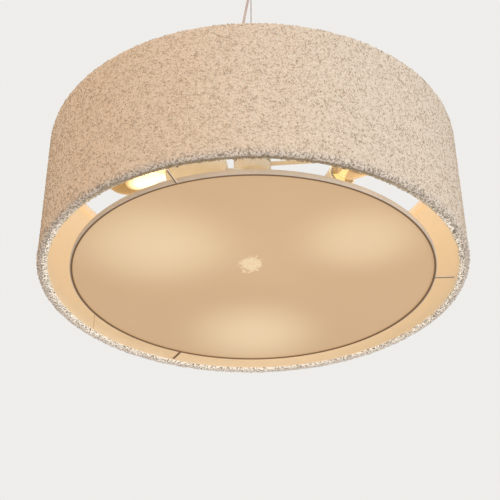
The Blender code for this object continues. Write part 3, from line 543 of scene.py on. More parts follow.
CLEAR_JACKET = hard_finish("clear_flex_jacket", (0.86, 0.72, 0.66), 0.18, grain=600.0, lift=0.1,
                           Transmission_Weight=0.35, IOR=1.45, Coat_Weight=0.3)
cable_route = np.linspace((0, 0, CABLE_TOP), (0, 0, CABLE_FOOT), CABLE_POINTS)
cable = cord_curve("taut_cable", cable_route, CABLE_RADIUS, stranded_steel(), "steel", "steel_cable")
flex_route, flex_length = smooth_route(FLEX_STATIONS, FLEX_POINTS)
flex = cord_curve("clear_flex", flex_route, FLEX_RADIUS, CLEAR_JACKET, "flex_jacket", "flex_cord")
print(f"flex {flex_length:.3f} m, cable {CABLE_TOP - CABLE_FOOT:.3f} m")

# %% [markdown]
# Looped wool is thousands of small curls of thick and thin yarn. Its finish paints shade into the pits between
# pale bobbles. At the hem, where light and shade lie close together, painted grains of both take over.

# %% Wool finish
KNOB_SPACING = 0.0020
EDGE_TUFT = 0.0015
SPECKLE_FOOT = 0.001
SPECKLE_HEIGHT = 0.0075
WARP_REACH = (0.0016, 0.0016, 0.0016)
GRAIN_SCALE = 560.0
PALE_YARN = (0.97, 0.90, 0.80)


def wool_finish(name, dark, light, tuft, relief, grains, shaded=None, glow=(0.0, 0.0),
                far_side=(-0.06, 0.12)):
    """Matt yarn: bobbles stand up between pits darkened with painted shade, and grains take over near the lower
    edge.

    The near side of the hem lies in shade and takes the shaded colour; lamplight shines through the far side.
    """
    material, shader, place = nodes_of(name, light, 0.95)
    warp = noise_of(place, 300.0, 2.0)
    push = node_of(place, "CombineXYZ", {axis: warp for axis in "XYZ"}).outputs["Vector"]
    bent = node_of(place, "VectorMath", {0: push, 1: WARP_REACH, 2: place}, operation="MULTIPLY_ADD")
    bobbles = {"Vector": bent.outputs["Vector"], "Scale": 1 / tuft, "Smoothness": 0.35}
    pits = node_of(place, "TexVoronoi", bobbles, feature="SMOOTH_F1").outputs["Distance"]
    cloud = noise_of(place, 620.0, 4.0)
    # The pits' darker colour is painted shade between the bobbles, added to a random cloud of tone.
    shade = joined("ADD", joined("MULTIPLY", pits, -0.45), joined("MULTIPLY", cloud, 0.5))
    colour = ramp_of(range_of(shade, -0.16, 0.20, 0.0, 1.0), [(0.0, dark), (1.0, light)])
    _, from_front, height = split_up(place)
    far = range_of(from_front, *far_side, 0.0, 1.0)
    low = range_of(height, level(SPECKLE_FOOT), level(SPECKLE_HEIGHT), 1.0, 0.0)
    spots = noise_of(place, GRAIN_SCALE, 2.0)
    near_grains = ramp_of(spots, [(0.40, grains[0]), (0.56, grains[1])])
    far_grains = ramp_of(spots, [(0.41, grains[2]), (0.53, grains[1])])
    colour = mixed(low, colour, mixed(far, near_grains, far_grains))
    if shaded:
        colour = mixed(far, shaded, colour)
    light_through = joined("MULTIPLY", range_of(from_front, *far_side, *glow), low)
    fill(shader, {"Base Color": colour, "Emission Color": colour, "Emission Strength": light_through,
                        "Sheen Weight": 0.3, "Sheen Roughness": 0.6})
    fibres = joined("MULTIPLY", noise_of(place, 1800.0), 0.35)
    bump_of(shader, joined("ADD", joined("MULTIPLY", pits, -1.0), fibres), relief, 0.0009)
    return material


WOOL = wool_finish("looped_wool", (0.70, 0.59, 0.47), (0.94, 0.83, 0.70), KNOB_SPACING, 0.55,
                   ((0.34, 0.29, 0.24), (0.90, 0.82, 0.74), (0.42, 0.37, 0.32)), glow=(0.0, 0.20))
# The edge and the lip take painted shade on the hem's near side and glow more with painted lamplight towards its
# far side.
WOOL_EDGE = wool_finish("looped_wool_edge", (0.16, 0.13, 0.10), (0.97, 0.90, 0.82), EDGE_TUFT, 0.8,
                        ((0.12, 0.10, 0.07), (0.95, 0.88, 0.80), (0.14, 0.12, 0.08)),
                        shaded=(0.34, 0.28, 0.20), glow=(0.06, 0.30), far_side=(-0.20, -0.10))
WOOL_LIP = wool_finish("looped_wool_lip", (0.58, 0.48, 0.36), PALE_YARN, EDGE_TUFT, 0.8,
                       ((0.30, 0.24, 0.16), PALE_YARN, (0.22, 0.18, 0.12)),
                       shaded=(0.50, 0.37, 0.22), glow=(0.06, 0.46), far_side=(-0.20, -0.11))
print("three yarns: wall, edge and lip")

# %% [markdown]
# The lining is a smooth cloth lit from inside. Bulbs that are strong enough to light it would need many
# samples to look clean, so most of its light is its own, and it rises towards the lamps.

# %% Lining finish
def woven_light(name, cloth, colour, glow, weave=1400.0):
    """Cloth lit from inside: two crossed waves make the weave, and a slow cloud moves the light."""
    material, shader, place = nodes_of(name, cloth, 0.85)
    across, back, height = split_up(place)
    around = joined("MULTIPLY", joined("ARCTAN2", back, across), HEM_RADIUS)
    warp, weft = (joined("SINE", joined("MULTIPLY", way, weave * 2 * math.pi))
                  for way in (around, height))
    bump_of(shader, joined("MULTIPLY", warp, weft), 0.25)
    stops = [(0.35, [c * 0.93 for c in cloth]), (0.65, cloth)]
    rise = range_of(height, level(0.0), level(SHADE_HEIGHT), 0.75 * glow, 1.1 * glow)
    fill(shader, {"Base Color": ramp_of(noise_of(place, 9.0), stops),
                        "Emission Strength": rise, "Emission Color": colour})
    return material


LINING = woven_light("lit_lining", (0.62, 0.53, 0.42), (0.86, 0.61, 0.33), 0.47)
print("finishes so far:", len(bpy.data.materials))

# %% [markdown]
# The cover is one sheet of wool, turned in at both edges. Its surface swells in soft waves, and the hem hangs
# a little lower on one side, as cloth does. Displacement in the shader would not show in the outline or in
# other programs, so the waves are real points.

# %% Wool cover
COVER_BASE = SHADE_RADIUS + 0.0001
COVER_TOP = SHADE_HEIGHT + 0.0004
COVER_FOOT = 0.0013
COVER_FLARE = 0.0009
FLARE_HEIGHT = 0.014
HEM_SAG = 0.0021
HEM_SPREAD = 0.0012
SAG_SIDE = math.radians(118.0)
SAG_REACH = 0.012
COVER_ROWS = 104
COVER_COLUMNS = 860
SWELL_SPACING = 0.0075
SWELL_HEIGHT = 0.0005
SWELL_FADE = 0.004
HEM_EDGE = 0.0036
TOP_EDGE = 0.0014
TURN_IN = HEM_RADIUS + 0.0006
TURN_TOP = 0.0036


def cover_outline(rows):
    """Evenly spaced points up the cover: hem lip, rounded and slightly flared lower edge, wall, upper edge."""
    middle = (COVER_BASE, level(SHADE_HEIGHT / 2))
    lower = softened([(HEM_RADIUS + 0.0008, level(TURN_TOP)), (TURN_IN, level(COVER_FOOT)),
                      (COVER_BASE + COVER_FLARE, level(COVER_FOOT)), (COVER_BASE, level(FLARE_HEIGHT)),
                      middle], HEM_EDGE, 8)
    upper = softened([middle, (COVER_BASE, level(COVER_TOP)), (TURN_IN, level(COVER_TOP))], TOP_EDGE, 8)
    outline, length = evenly(np.vstack([lower, upper[1:]]), rows)
    slope = np.gradient(outline, axis=0)
    slope /= np.linalg.norm(slope, axis=1, keepdims=True)
    return outline, np.stack([slope[:, 1], -slope[:, 0]], -1), length


def knobs(up, around, spacing, seed):
    """Rounded knobs, 0 to 1 high: one wandering centre a square cell, and the tallest near one counts."""
    random = np.random.default_rng(seed)
    cells_up = int(up.max() / spacing) + 3
    cells_around = int(round(2 * np.pi * SHADE_RADIUS / spacing))
    shift = random.random((cells_up, cells_around, 2))
    tall = 0.45 + 0.55 * random.random((cells_up, cells_around))
    size = 2 * np.pi * SHADE_RADIUS / cells_around
    u, v = up[:, None] / size + 0 * around[None], around[None] / size + 0 * up[:, None]
    row, column = np.floor(u).astype(int), np.floor(v).astype(int)
    best = np.zeros_like(u)
    for i in (-1, 0, 1):
        for j in (-1, 0, 1):
            r, c = np.clip(row + i, 0, cells_up - 1), (column + j) % cells_around
            away = np.hypot(row + i + shift[r, c, 0] - u, column + j + shift[r, c, 1] - v)
            best = np.maximum(best, tall[r, c] * np.sqrt(np.clip(1 - (away / 0.85) ** 2, 0, 1)))
    return best


def sagged(points):
    """The hem hangs lower and wider on one side: a drop that fades upwards, times a raised cosine round it."""
    x, y, z = np.moveaxis(points, -1, 0)
    out = np.hypot(x, y)
    fade = np.clip(1 - (z - level(0)) / SAG_REACH, 0, 1)
    share = fade * (0.5 + 0.5 * np.cos(np.arctan2(y, x) - SAG_SIDE)) ** 1.5
    outer = np.clip((out - HEM_RADIUS) / (COVER_BASE - HEM_RADIUS), 0, 1)
    grow = 1 + HEM_SPREAD * share * outer / out
    return np.stack([x * grow, y * grow, z - HEM_SAG * share * outer], -1)


outline, outward, cover_height = cover_outline(COVER_ROWS)
way_up = np.linspace(0, cover_height, COVER_ROWS)
angle = full_turn(COVER_COLUMNS)
swell = SWELL_HEIGHT * knobs(way_up, angle * SHADE_RADIUS, SWELL_SPACING, 3)
swell += 0.6 * SWELL_HEIGHT * knobs(way_up, angle * SHADE_RADIUS, 0.6 * SWELL_SPACING, 4)
swell *= np.minimum(1, np.minimum(way_up, cover_height - way_up) / SWELL_FADE)[:, None]
cover_grid = sagged(about_axis(outline[:, :1] + outward[:, :1] * swell, angle,
                               outline[:, 1:] + outward[:, 1:] * swell))
cover = made_piece("wool_cover", [(cover_grid, False, True)], "lamp", WOOL, "looped_wool", "shade_fabric",
                   keep_sides=True)
print(f"cover {cover_height * 1000:.0f} mm from hem to top")

# %% [markdown]
# The lower edge shows a thin fringe where the wool turns under: painted shade in the pits between pale loops,
# and a paler lip further in that glows with painted lamplight. The innermost strip, which is turned up
# inside, is lining. The faces there take these finishes.

# %% Edge faces
EDGE_TOP = 0.0040
EDGE_WIDTHS = (0.0062, 0.0038, 0.0013)

centres = face_centres(cover)
from_axis = np.hypot(centres[:, 0], centres[:, 1])
underneath = centres[:, 2] < level(EDGE_TOP)
inside = sum((underneath & (from_axis < HEM_RADIUS + width)).astype(int) for width in EDGE_WIDTHS)
share_out(cover, (WOOL_EDGE, WOOL_LIP, LINING), inside)
print(f"faces of the wall, edge, lip and lining: {np.bincount(inside).tolist()}")

# %% [markdown]
# Real curls of yarn are strewn over the cover, because they break its outline as wool does. Hair could do it,
# but short bent tubes with three sides cost little and are plain mesh everywhere.

# %% Yarn curls
CURL_STEPS = 4
CURL_SIDES = 3
CURL_RADIUS = 0.00082
YARN_RADIUS = 0.00034
KNOB_HEIGHT = 0.0011
CURLS_PER_PIECE = 6800
CURL_BANDS = (0.060, 0.285, 0.51, 0.735, 0.965)
EDGE_CURLS = 1600
EDGE_BAND = (0.012, 0.045)


def curls(count, seed, low, high):
    """Bent scraps of yarn lying on the cover: each is three quarters of a small ring, tipped at random."""
    random = np.random.default_rng(seed)
    way = random.uniform(low, high, count)
    spin = random.uniform(0, 2 * np.pi, count)
    place, facing = (np.stack([np.interp(way, way_up, column) for column in table.T], -1)
                     for table in (outline, outward))
    facing /= np.linalg.norm(facing, axis=1, keepdims=True)
    foot, out = (about_axis(table[:, 0], spin, table[:, 1]) for table in (place, facing))
    east = np.stack([-np.sin(spin), np.cos(spin), 0 * spin], -1)
    north = np.cross(out, east)
    turn = random.uniform(0, 2 * np.pi, count)[:, None]
    tip = random.uniform(0.1, 1.0, count)[:, None]
    first = np.cos(turn) * east + np.sin(turn) * north
    second = np.cos(tip) * (np.cos(turn) * north - np.sin(turn) * east) + np.sin(tip) * out
    size = CURL_RADIUS * random.uniform(0.75, 1.25, count)[:, None]
    centre = foot + out * (KNOB_HEIGHT * random.uniform(0.25, 0.65, count))[:, None]
    bend = np.linspace(0, 1.5 * np.pi, CURL_STEPS + 1)[None, :, None]
    radial = np.cos(bend) * first[:, None] + np.sin(bend) * second[:, None]
    ring = centre[:, None] + size[:, None] * radial
    axis = np.cross(first, second)[:, None] + 0 * radial
    taper = np.sin(np.linspace(0.35, np.pi - 0.35, CURL_STEPS + 1))[None, :, None]
    thick = YARN_RADIUS * random.uniform(0.8, 1.25, (count, 1, 1)) * taper
    return sagged(np.stack([ring + thick * (np.cos(side) * radial + np.sin(side) * axis)
                            for side in np.arange(CURL_SIDES) * 2 * np.pi / CURL_SIDES], 2))


def curl_piece(name, count, seed, low, high, finish):
    """All curls in one mesh: three-sided tubes, closed at both ends, with smooth shading."""
    points = curls(count, seed, low * cover_height, high * cover_height)
    one = grid_faces(CURL_STEPS + 1, CURL_SIDES, False, True)
    ring = np.arange((CURL_STEPS + 1) * CURL_SIDES).reshape(-1, CURL_SIDES)
    step = (np.arange(count) * ring.size)[:, None, None]
    quads = (one + step).reshape(-1, 4)
    ends = (np.stack([ring[0][::-1], ring[-1]]) + step).reshape(-1, CURL_SIDES)
    starts = np.concatenate([np.arange(len(quads)) * 4, quads.size + np.arange(len(ends)) * CURL_SIDES])
    mesh = mesh_of(name, points.reshape(-1, 3), np.concatenate([quads.ravel(), ends.ravel()]), starts, finish)
    mesh.polygons.foreach_set("use_smooth", np.ones(len(mesh.polygons), dtype=bool))
    print(f"{name}: {count} curls, {len(mesh.polygons)} faces")
    return dressed(name, mesh, "lamp", "looped_wool")


for band, (low, high) in enumerate(zip(CURL_BANDS, CURL_BANDS[1:]), 1):
    curl_piece(f"wool_curls_{band}", CURLS_PER_PIECE, 20 + band, low, high, WOOL)
curl_piece("wool_curls_edge", EDGE_CURLS, 30, *EDGE_BAND, WOOL_LIP)

# %% [markdown]
# The lining closes in a lapped seam, which throws a thin shadow down the cloth. The lap is a soft step in the
# tube's inside, and the shadow along it is painted as a thin dark tube, a piece of its own.

# %% Lining
LINING_OUTER = 0.2171
LINING_INNER = 0.2165
LINING_BOTTOM = 0.0040
LINING_TOP = 0.1499
LINING_ROWS = 24
LINING_COLUMNS = 360
SEAM_DEGREES = 148.3
SEAM_WIDTH = 0.008
SEAM_STEP = 0.0006
SEAM_SOFTNESS = 0.0005
SEAM_SHADOW_RADIUS = 0.00038


def lining_grid():
    """A thin tube whose seam stands proud inside: the step falls off as 1 / (1 + exp(way past its edge))."""
    angle = full_turn(LINING_COLUMNS)
    side = (angle - math.radians(SEAM_DEGREES) + np.pi) % (2 * np.pi) - np.pi
    lap = SEAM_STEP / (1 + np.exp((np.abs(side) * LINING_INNER - SEAM_WIDTH / 2) / SEAM_SOFTNESS))
    heights = np.linspace(level(LINING_BOTTOM), level(LINING_TOP), LINING_ROWS)[:, None]
    return np.concatenate([about_axis(LINING_INNER - lap, angle, heights),
                           about_axis(LINING_OUTER, angle, heights[::-1])])


# A thin dark tube along the lap's edge is its painted shadow.
painted_seam_shadow = polar(LINING_INNER - 0.0005, SEAM_DEGREES,
                    np.linspace(level(LINING_BOTTOM), level(LINING_TOP - 0.006), LINING_ROWS))
SEAM_SHADOW_FINISH = hard_finish("painted_seam_shadow", (0.50, 0.38, 0.24), 0.8, grain=3000.0, lift=0.3)
made_piece("lining_seam", [tube(painted_seam_shadow, SEAM_SHADOW_RADIUS, 8)], "lamp", SEAM_SHADOW_FINISH, "lining")
made_piece("lit_lining_tube", [(lining_grid(), True, True)], "lamp", LINING, "lining", "shade_lining")

# %% [markdown]
# A cotton band covers the upper ring, with two pressed lines where it is stitched. The ring and the flat bars
# of the spider are welded on the real lamp, so they share one mesh here.

# %% Top band, ring and spider
RING_LEVEL = level(0.1516)
LOWER_RING_LEVEL = level(0.0023)
RING_WIRE = 0.0014
SPIDER_ANGLES = (-5.0, 115.0, 235.0)
SPIDER_START = 0.0150
SPIDER_WIDTH = 0.007
SPIDER_THICKNESS = 0.0016
SPIDER_SQUARENESS = 0.25
SPIDER_DISC = 0.0195
BAND_HEIGHT = 0.009
BAND_COLUMNS = 720
BAND_ROWS = 30
STITCH_LEVELS = (0.1470, 0.1496)
STITCH_PRESS = 0.00022
STITCH_LENGTH = 0.0031
STITCH_GAP_SHARE = 1.5
THREAD_RADIUS = 0.00022


def band_grid():
    """The band inside the top edge: a strip with two pressed lines of stitching, round a cotton tape."""
    heights = np.linspace(level(SHADE_HEIGHT - BAND_HEIGHT), level(SHADE_HEIGHT - 0.0006), BAND_ROWS)[:, None]
    degrees = np.arange(BAND_COLUMNS) * 360 / BAND_COLUMNS
    press = sum(STITCH_PRESS * np.exp(-((heights - level(line)) / 0.0005) ** 2) for line in STITCH_LEVELS)
    fold = 0.00012 * np.sin(np.radians(degrees) * 97) * np.sin(np.radians(degrees) * 31 + 1.0)
    return np.concatenate([polar(HEM_RADIUS + press + fold, degrees, heights),
                           polar(HEM_RADIUS + 0.0006, degrees, heights[::-1])])


def wire_ring(z):
    route = polar(FRAME_RING_RADIUS, np.arange(180) * 2.0, z)
    return tube(route, RING_WIRE, 12, True)


def bar_grid(degrees):
    """One flat bar of the spider. Its section is a squared circle: the sign of cos times |cos| to a power."""
    start, end = SPIDER_START, FRAME_RING_RADIUS
    along = np.concatenate([[start, start], np.linspace(start, end, 12), [end, end]])[:, None]
    grow = np.concatenate([[0, 0.7], np.ones(12), [0.7, 0]])[:, None]
    angle = full_turn(32)
    across, up = (np.sign(wave) * np.abs(wave) ** SPIDER_SQUARENESS * width / 2
                  for wave, width in ((np.cos(angle), SPIDER_WIDTH), (np.sin(angle), SPIDER_THICKNESS)))
    across = grow * across
    c, s = math.cos(math.radians(degrees)), math.sin(math.radians(degrees))
    return np.stack([c * along - s * across, s * along + c * across, RING_LEVEL + grow * up], -1), False, True


TAPE = woven_light("lit_band", (0.80, 0.70, 0.56), (0.84, 0.60, 0.36), 0.42, 900.0)
made_piece("top_band", [(band_grid(), True, True)], "lamp", TAPE, "lining")
disc = lathe(washer(BORE, SPIDER_DISC, RING_LEVEL - 0.001, RING_LEVEL + 0.001), 96)
made_piece("spider_and_ring", [disc, wire_ring(RING_LEVEL)] + [bar_grid(angle) for angle in SPIDER_ANGLES],
           "lamp", CREAM_PAINT, "cream_paint", "shade_spider")
made_piece("lower_ring", [wire_ring(LOWER_RING_LEVEL)], "lamp", CREAM_PAINT, "cream_paint", "shade_bottom_ring")

# %% [markdown]
# Two lines of stitches hold the band. Each stitch is a short dash of thread, sunk at both ends.

# %% Stitches
def stitches(line):
    """Short dashes of thread round one line: five rings of four points, drawn in at both ends."""
    middle = np.arange(int(2 * np.pi * HEM_RADIUS / (STITCH_GAP_SHARE * STITCH_LENGTH)))
    middle = middle * 360 / len(middle)
    half = np.degrees(STITCH_LENGTH / HEM_RADIUS) / 2
    rings = []
    for share, thick in zip((-1, -0.5, 0, 0.5, 1), THREAD_RADIUS * np.array([0.25, 1, 1, 1, 0.25])):
        rings.append(np.stack([polar(HEM_RADIUS + 0.00012 - thick * np.cos(side), middle + share * half,
                                     level(line) + thick * np.sin(side)) for side in full_turn(4)], 1))
    return [(dash, False, True) for dash in np.stack(rings, 1)]


THREAD = hard_finish("cotton_thread", (0.72, 0.60, 0.42), 0.8, grain=3000.0, lift=0.3)
dashes = [dash for line in STITCH_LEVELS for dash in stitches(line)]
made_piece("band_stitches", dashes, "lamp", THREAD, "lining", keep_sides=True)

# %% [markdown]
# The opal disc glows by itself: light from the bulbs scatters in it, so it is brighter under the bulbs and
# dimmer towards the rim. A slow cloud and a fine grain keep it from looking printed.

# %% Opal disc
DIFFUSER_RADIUS = 0.1916
DIFFUSER_BOTTOM = 0.0012
DIFFUSER_HOOP_TOP = 0.0066
SHEET_RADIUS = 0.1897
SHEET_BOTTOM = 0.0023
SHEET_TOP = 0.0048
RIM_FADE_START = 0.08
# Degrees, way from the axis, spread and brightness of each glow
GLOW_SPOTS = ((215.0, 0.121, 0.052, 1.10), (324.0, 0.133, 0.042, 0.95), (90.0, 0.125, 0.050, 1.12),
              (270.0, 0.060, 0.060, 0.16))
SPARKLE_PLACE = (-0.0035, -0.031, level(SHEET_BOTTOM))
SPARKLE_STRETCH = (88.0, 60.0, 0.0)
SPARKLE_RISE = 1.6
OPAL_STOPS = ((0.0, (0.310, 0.200, 0.100)), (0.125, (0.347, 0.228, 0.120)), (0.75, (0.515, 0.398, 0.242)),
              (1.0, (0.60, 0.49, 0.32)))


def lit_opal():
    """Emission falls from the middle to the rim, rises under each bulb, and sparkles in one small patch."""
    material, shader, place = nodes_of("lit_opal", (0.45, 0.33, 0.22), 0.35)
    from_axis = distance_to(place, (0, 0, 0), (1, 1, 0))
    total = range_of(from_axis, RIM_FADE_START, SHEET_RADIUS, 0.0, -0.03)
    for degrees, reach, spread, rise in GLOW_SPOTS:
        away = distance_to(place, polar(reach, degrees, level(SHEET_BOTTOM)))
        near = range_of(away, 0.0, 2.2 * spread, rise, 0.0, "SMOOTHERSTEP")
        total = joined("ADD", total, near)
    total = joined("ADD", total, cloud_of(place, 14.0, -0.03, 0.03))
    ragged = cloud_of(place, 170.0, -0.35, 0.35, 2.0)
    oval = joined("ADD", distance_to(place, SPARKLE_PLACE, SPARKLE_STRETCH), ragged)
    inside = range_of(oval, 0.75, 1.05, 1.0, 0.0)
    grains = range_of(noise_of(place, 420.0, 2.0), 0.35, 0.62, 0.35, 1.0)
    sparkle = joined("MULTIPLY", joined("MULTIPLY", inside, grains), SPARKLE_RISE)
    light = range_of(joined("ADD", total, sparkle), -0.2, 1.4, 0.0, 1.0)
    fill(shader, {"Emission Color": ramp_of(light, OPAL_STOPS), "Emission Strength": 1.0})
    bump_of(shader, noise_of(place, 700.0), 0.05)
    return material


turned("opal_sheet", washer(0, SHEET_RADIUS, level(SHEET_BOTTOM), level(SHEET_TOP)), 192, 0.0005,
       "diffuser", lit_opal(), "opal", "diffuser_sheet")

# %% [markdown]
# Three wires hold the hoop: each runs from it to the ring in the shade's edge and hooks over. A wire takes
# a painted highlight on the side that the room lights, painted shade on the rest, and the lining's painted glow
# where it hooks.

# %% Hoop and struts
HOOP_WALL = 0.0016
HOOP_LIFT = 0.0002
LIP_OUTER = 0.1907
LIP_INNER = 0.1887
LIP_THICKNESS = 0.0008
STRUT_ANGLES = (-111.2, -0.5, 117.2)
STRUT_WIRE = 0.0012
# Way from the axis and height of each corner of a wire, and the radii of its two bends
STRUT_CORNERS = ((0.1908, 0.0021), (0.2112, 0.0026), (0.2137, 0.0052), (0.2150, 0.0052))
STRUT_BENDS = (0.0020, 0.0014)
STRUT_HOOK = 0.2116
STRUT_REACH = 0.01
STRUT_LIT_FROM = np.array([0.6, -0.8])
STRUT_LIT_EDGE = 0.00062


def rounded_route(points, radii, steps=8):
    """A polyline whose corners turn through circular arcs, given one radius a corner."""
    points = np.asarray(points, float)
    found = [points[0]]
    for before, corner, after, radius in zip(points, points[1:], points[2:], radii):
        back = (before - corner) / np.linalg.norm(before - corner)
        on = (after - corner) / np.linalg.norm(after - corner)
        half = math.acos(float(back @ on)) / 2
        middle = (back + on) / np.linalg.norm(back + on)
        centre = corner + middle * radius / math.sin(half)
        start = corner + back * radius / math.tan(half) - centre
        end = corner + on * radius / math.tan(half) - centre
        sweep = math.acos(float(np.clip(start @ end / radius ** 2, -1, 1)))
        share = np.linspace(0, 1, steps + 1)[:, None]
        found.extend(centre + (np.sin((1 - share) * sweep) * start + np.sin(share * sweep) * end)
                     / math.sin(sweep))
    found.append(points[-1])
    return np.array(found)


def lit_side(centres):
    """How far each face of a strut lies towards the room's light: its way off the wire's middle line."""
    side = np.zeros(len(centres))
    for degrees in STRUT_ANGLES:
        along = polar(1, degrees, 0)[:2]
        across = np.array([-along[1], along[0]])
        away = centres[:, :2] @ across
        near = (centres[:, :2] @ along > 0) & (np.abs(away) < STRUT_REACH)
        side = np.where(near, away * (across @ STRUT_LIT_FROM), side)
    return side


hoop_inner = DIFFUSER_RADIUS - HOOP_WALL
hoop_low = level(DIFFUSER_BOTTOM + HOOP_LIFT)
wall = washer(DIFFUSER_RADIUS, hoop_inner, hoop_low, level(DIFFUSER_HOOP_TOP))
turned("hoop_wall", wall, 192, 0.0003, "diffuser", HOOP_PAINT, "cream_paint", "diffuser_rim")
# The lip takes the dark brown of painted shade.
lip = washer(LIP_OUTER, LIP_INNER, level(DIFFUSER_BOTTOM), level(DIFFUSER_BOTTOM + LIP_THICKNESS))
turned("hoop_lip", lip, 192, 0.0002, "diffuser", LIP_PAINTED_SHADE, "cream_paint")
wires = [rounded_route([polar(reach, degrees, level(height)) for reach, height in STRUT_CORNERS], STRUT_BENDS)
         for degrees in STRUT_ANGLES]
struts = made_piece("wire_struts", [tube(wire, STRUT_WIRE, 14) for wire in wires], "diffuser", STRUT_PAINTED_SHADE,
                    "cream_paint")
centres = face_centres(struts)
# Faces on the room-lit side take the painted highlight, the rest take painted shade, and the hooked ends take
# the lining's painted glow.
hooked = np.hypot(centres[:, 0], centres[:, 1]) > STRUT_HOOK
share_out(struts, (STRUT_PAINTED_HIGHLIGHT, LINING), np.where(hooked, 2, lit_side(centres) > STRUT_LIT_EDGE))
print(f"{hooked.sum()} of {len(centres)} strut faces hook over the ring")

# %% [markdown]
# The hub clamps the spider between a cup and a cap. Its small knob closes the stem below.

# %% Hub
HUB_RADIUS = 0.021
HUB_WALL = 0.0014
HUB_EDGE = 0.0016
HUB_FLOOR = level(0.1355)
CUP_RIM = level(0.1503)
CAP_RIM, CAP_TOP = level(0.1529), level(0.1604)
KNOB_TOP, KNOB_LOW = HUB_FLOOR - GAP, HUB_FLOOR - 0.0062
KNOB_OUTLINE = [
    (0, KNOB_LOW - 0.0008), (0.0030, KNOB_LOW - 0.0005), (0.0056, KNOB_LOW + 0.0018),
    (0.0062, KNOB_TOP - 0.0018), (0.0060, KNOB_TOP - 0.0010), (0.0062, KNOB_TOP - 0.0004),
    (0.0062, KNOB_TOP), (BORE, KNOB_TOP), (BORE, KNOB_LOW + 0.0019), (0, KNOB_LOW + 0.0019)]
STEM_RADIUS = 0.004
STEM_BORE = 0.0026
STEM_LOW, STEM_TOP = level(0.1316), level(0.1645)
STEM_PITCH = 0.001
RIB_DEPTH = 0.00022
FLEX_BORE = 0.0018
COLLAR_RADIUS = 0.0042
NECK_RADIUS = 0.0032


def ribbed_stem(radius, low, high, bore, pitch):
    """A threaded rod as stacked ribs: the radius rises and falls once a pitch."""
    heights = np.arange(low, high, pitch / 4)
    ribs = radius - RIB_DEPTH * (np.arange(len(heights)) % 4 > 1)
    ribs[0] = ribs[-1] = radius - 0.0003
    return np.vstack([np.stack([ribs, heights], -1), [(bore, heights[-1]), (bore, heights[0])]])


def moved_across(distance):
    """The lamp's own frame, moved along X."""
    return np.array(Matrix.Translation((distance, 0, 0)))


cup = dish(BORE, HUB_RADIUS, HUB_FLOOR, CUP_RIM, HUB_WALL)
cap = dish(BORE, HUB_RADIUS, CAP_TOP, CAP_RIM, HUB_WALL)
for name, hub_outline, steps, edge, node in (
        ("turned_hub_cup", cup, 96, HUB_EDGE, "hub_cup"), ("turned_hub_cap", cap, 96, HUB_EDGE, "hub_cap"),
        ("turned_finial", KNOB_OUTLINE, 64, 0.0005, "hub_finial")):
    turned(name, hub_outline, steps, edge, "lamp", CREAM_PAINT, "cream_paint", node)
turned("threaded_stem", ribbed_stem(STEM_RADIUS, STEM_LOW, STEM_TOP, STEM_BORE, STEM_PITCH), 40, 0.00006,
       "lamp", ZINC, "steel", "hub_stem")
grommet = stepped(FLEX_BORE, NECK_RADIUS, COLLAR_RADIUS, CAP_TOP - 0.0025, CAP_TOP + GAP, CAP_TOP + 0.0012)
turned("soft_grommet", grommet, 40, 0.0003, "lamp", NYLON, "nylon", "hub_grommet",
       place=moved_across(FLEX_HUB_OFFSET))

# %% [markdown]
# Each holder has its own frame: z runs along the holder to the bulb, tipped up a few degrees. The three
# frames are one frame turned by thirds, set off to one side of the axis, which makes the pinwheel.

# %% Holders and arms
HOLDER_ANGLES = (174.6, 294.6, 54.6)
HOLDER_TILT = math.radians(8.0)
HOLDER_OFFSET = 0.0678
HOLDER_LEVEL = 0.092
HOLDER_BACK = 0.021
HOLDER_MOUTH = 0.0822
HOLDER_RADIUS = 0.0148
HOLDER_WALL = 0.0008
HOLDER_ROUND = 0.007
BEAD = 0.0002
ARM_RADIUS = 0.004
ARM_CIRCLE = 0.0115
ARM_LEVELS = (0.142, 0.131)
ARM_REACH = (0.007, 0.0277)
ARM_BENDS = (0.006, 0.0075)
INSERT_OUTLINE = [(0, 0.044), (0.0137, 0.044), (0.0137, 0.0816), (0.0133, 0.0816), (0.0133, 0.051), (0, 0.051)]


def holder_frame(degrees):
    """Across, up and along the holder as columns, and its place: its offset across, at its level."""
    side = polar(1, degrees + 90, 0)
    along = polar(math.cos(HOLDER_TILT), degrees, math.sin(HOLDER_TILT))
    matrix = np.eye(4)
    matrix[:3, :3] = np.stack([side, np.cross(along, side), along], 1)
    matrix[:3, 3] = side * HOLDER_OFFSET + np.array([0, 0, level(HOLDER_LEVEL)])
    return matrix


def on_axis(matrix, distance):
    return matrix[:3, 3] + matrix[:3, 2] * distance


def arc_of(radius, centre, start, end, steps, from_axis=0.0):
    """Points of an outline's arc from one angle to another; the centre is a height."""
    angle = np.radians(np.linspace(start, end, steps))
    return np.stack([from_axis + radius * np.cos(angle), centre + radius * np.sin(angle)], -1).tolist()


def sleeve_outline():
    """A sleeve with a round back, a beaded mouth and a thin wall."""
    middle = HOLDER_RADIUS - HOLDER_ROUND
    back = arc_of(HOLDER_ROUND, HOLDER_BACK + HOLDER_ROUND, -90, 0, 12, middle)
    inside = arc_of(HOLDER_ROUND - HOLDER_WALL, HOLDER_BACK + HOLDER_ROUND, 0, -65, 10, middle)
    floor = HOLDER_BACK + 0.0015
    return [(BORE, HOLDER_BACK), *back, (HOLDER_RADIUS, HOLDER_MOUTH - 0.0035),
            (HOLDER_RADIUS + BEAD, HOLDER_MOUTH - 0.0030), (HOLDER_RADIUS + BEAD, HOLDER_MOUTH),
            (HOLDER_RADIUS - HOLDER_WALL, HOLDER_MOUTH), *inside, (middle, floor), (BORE, floor)]


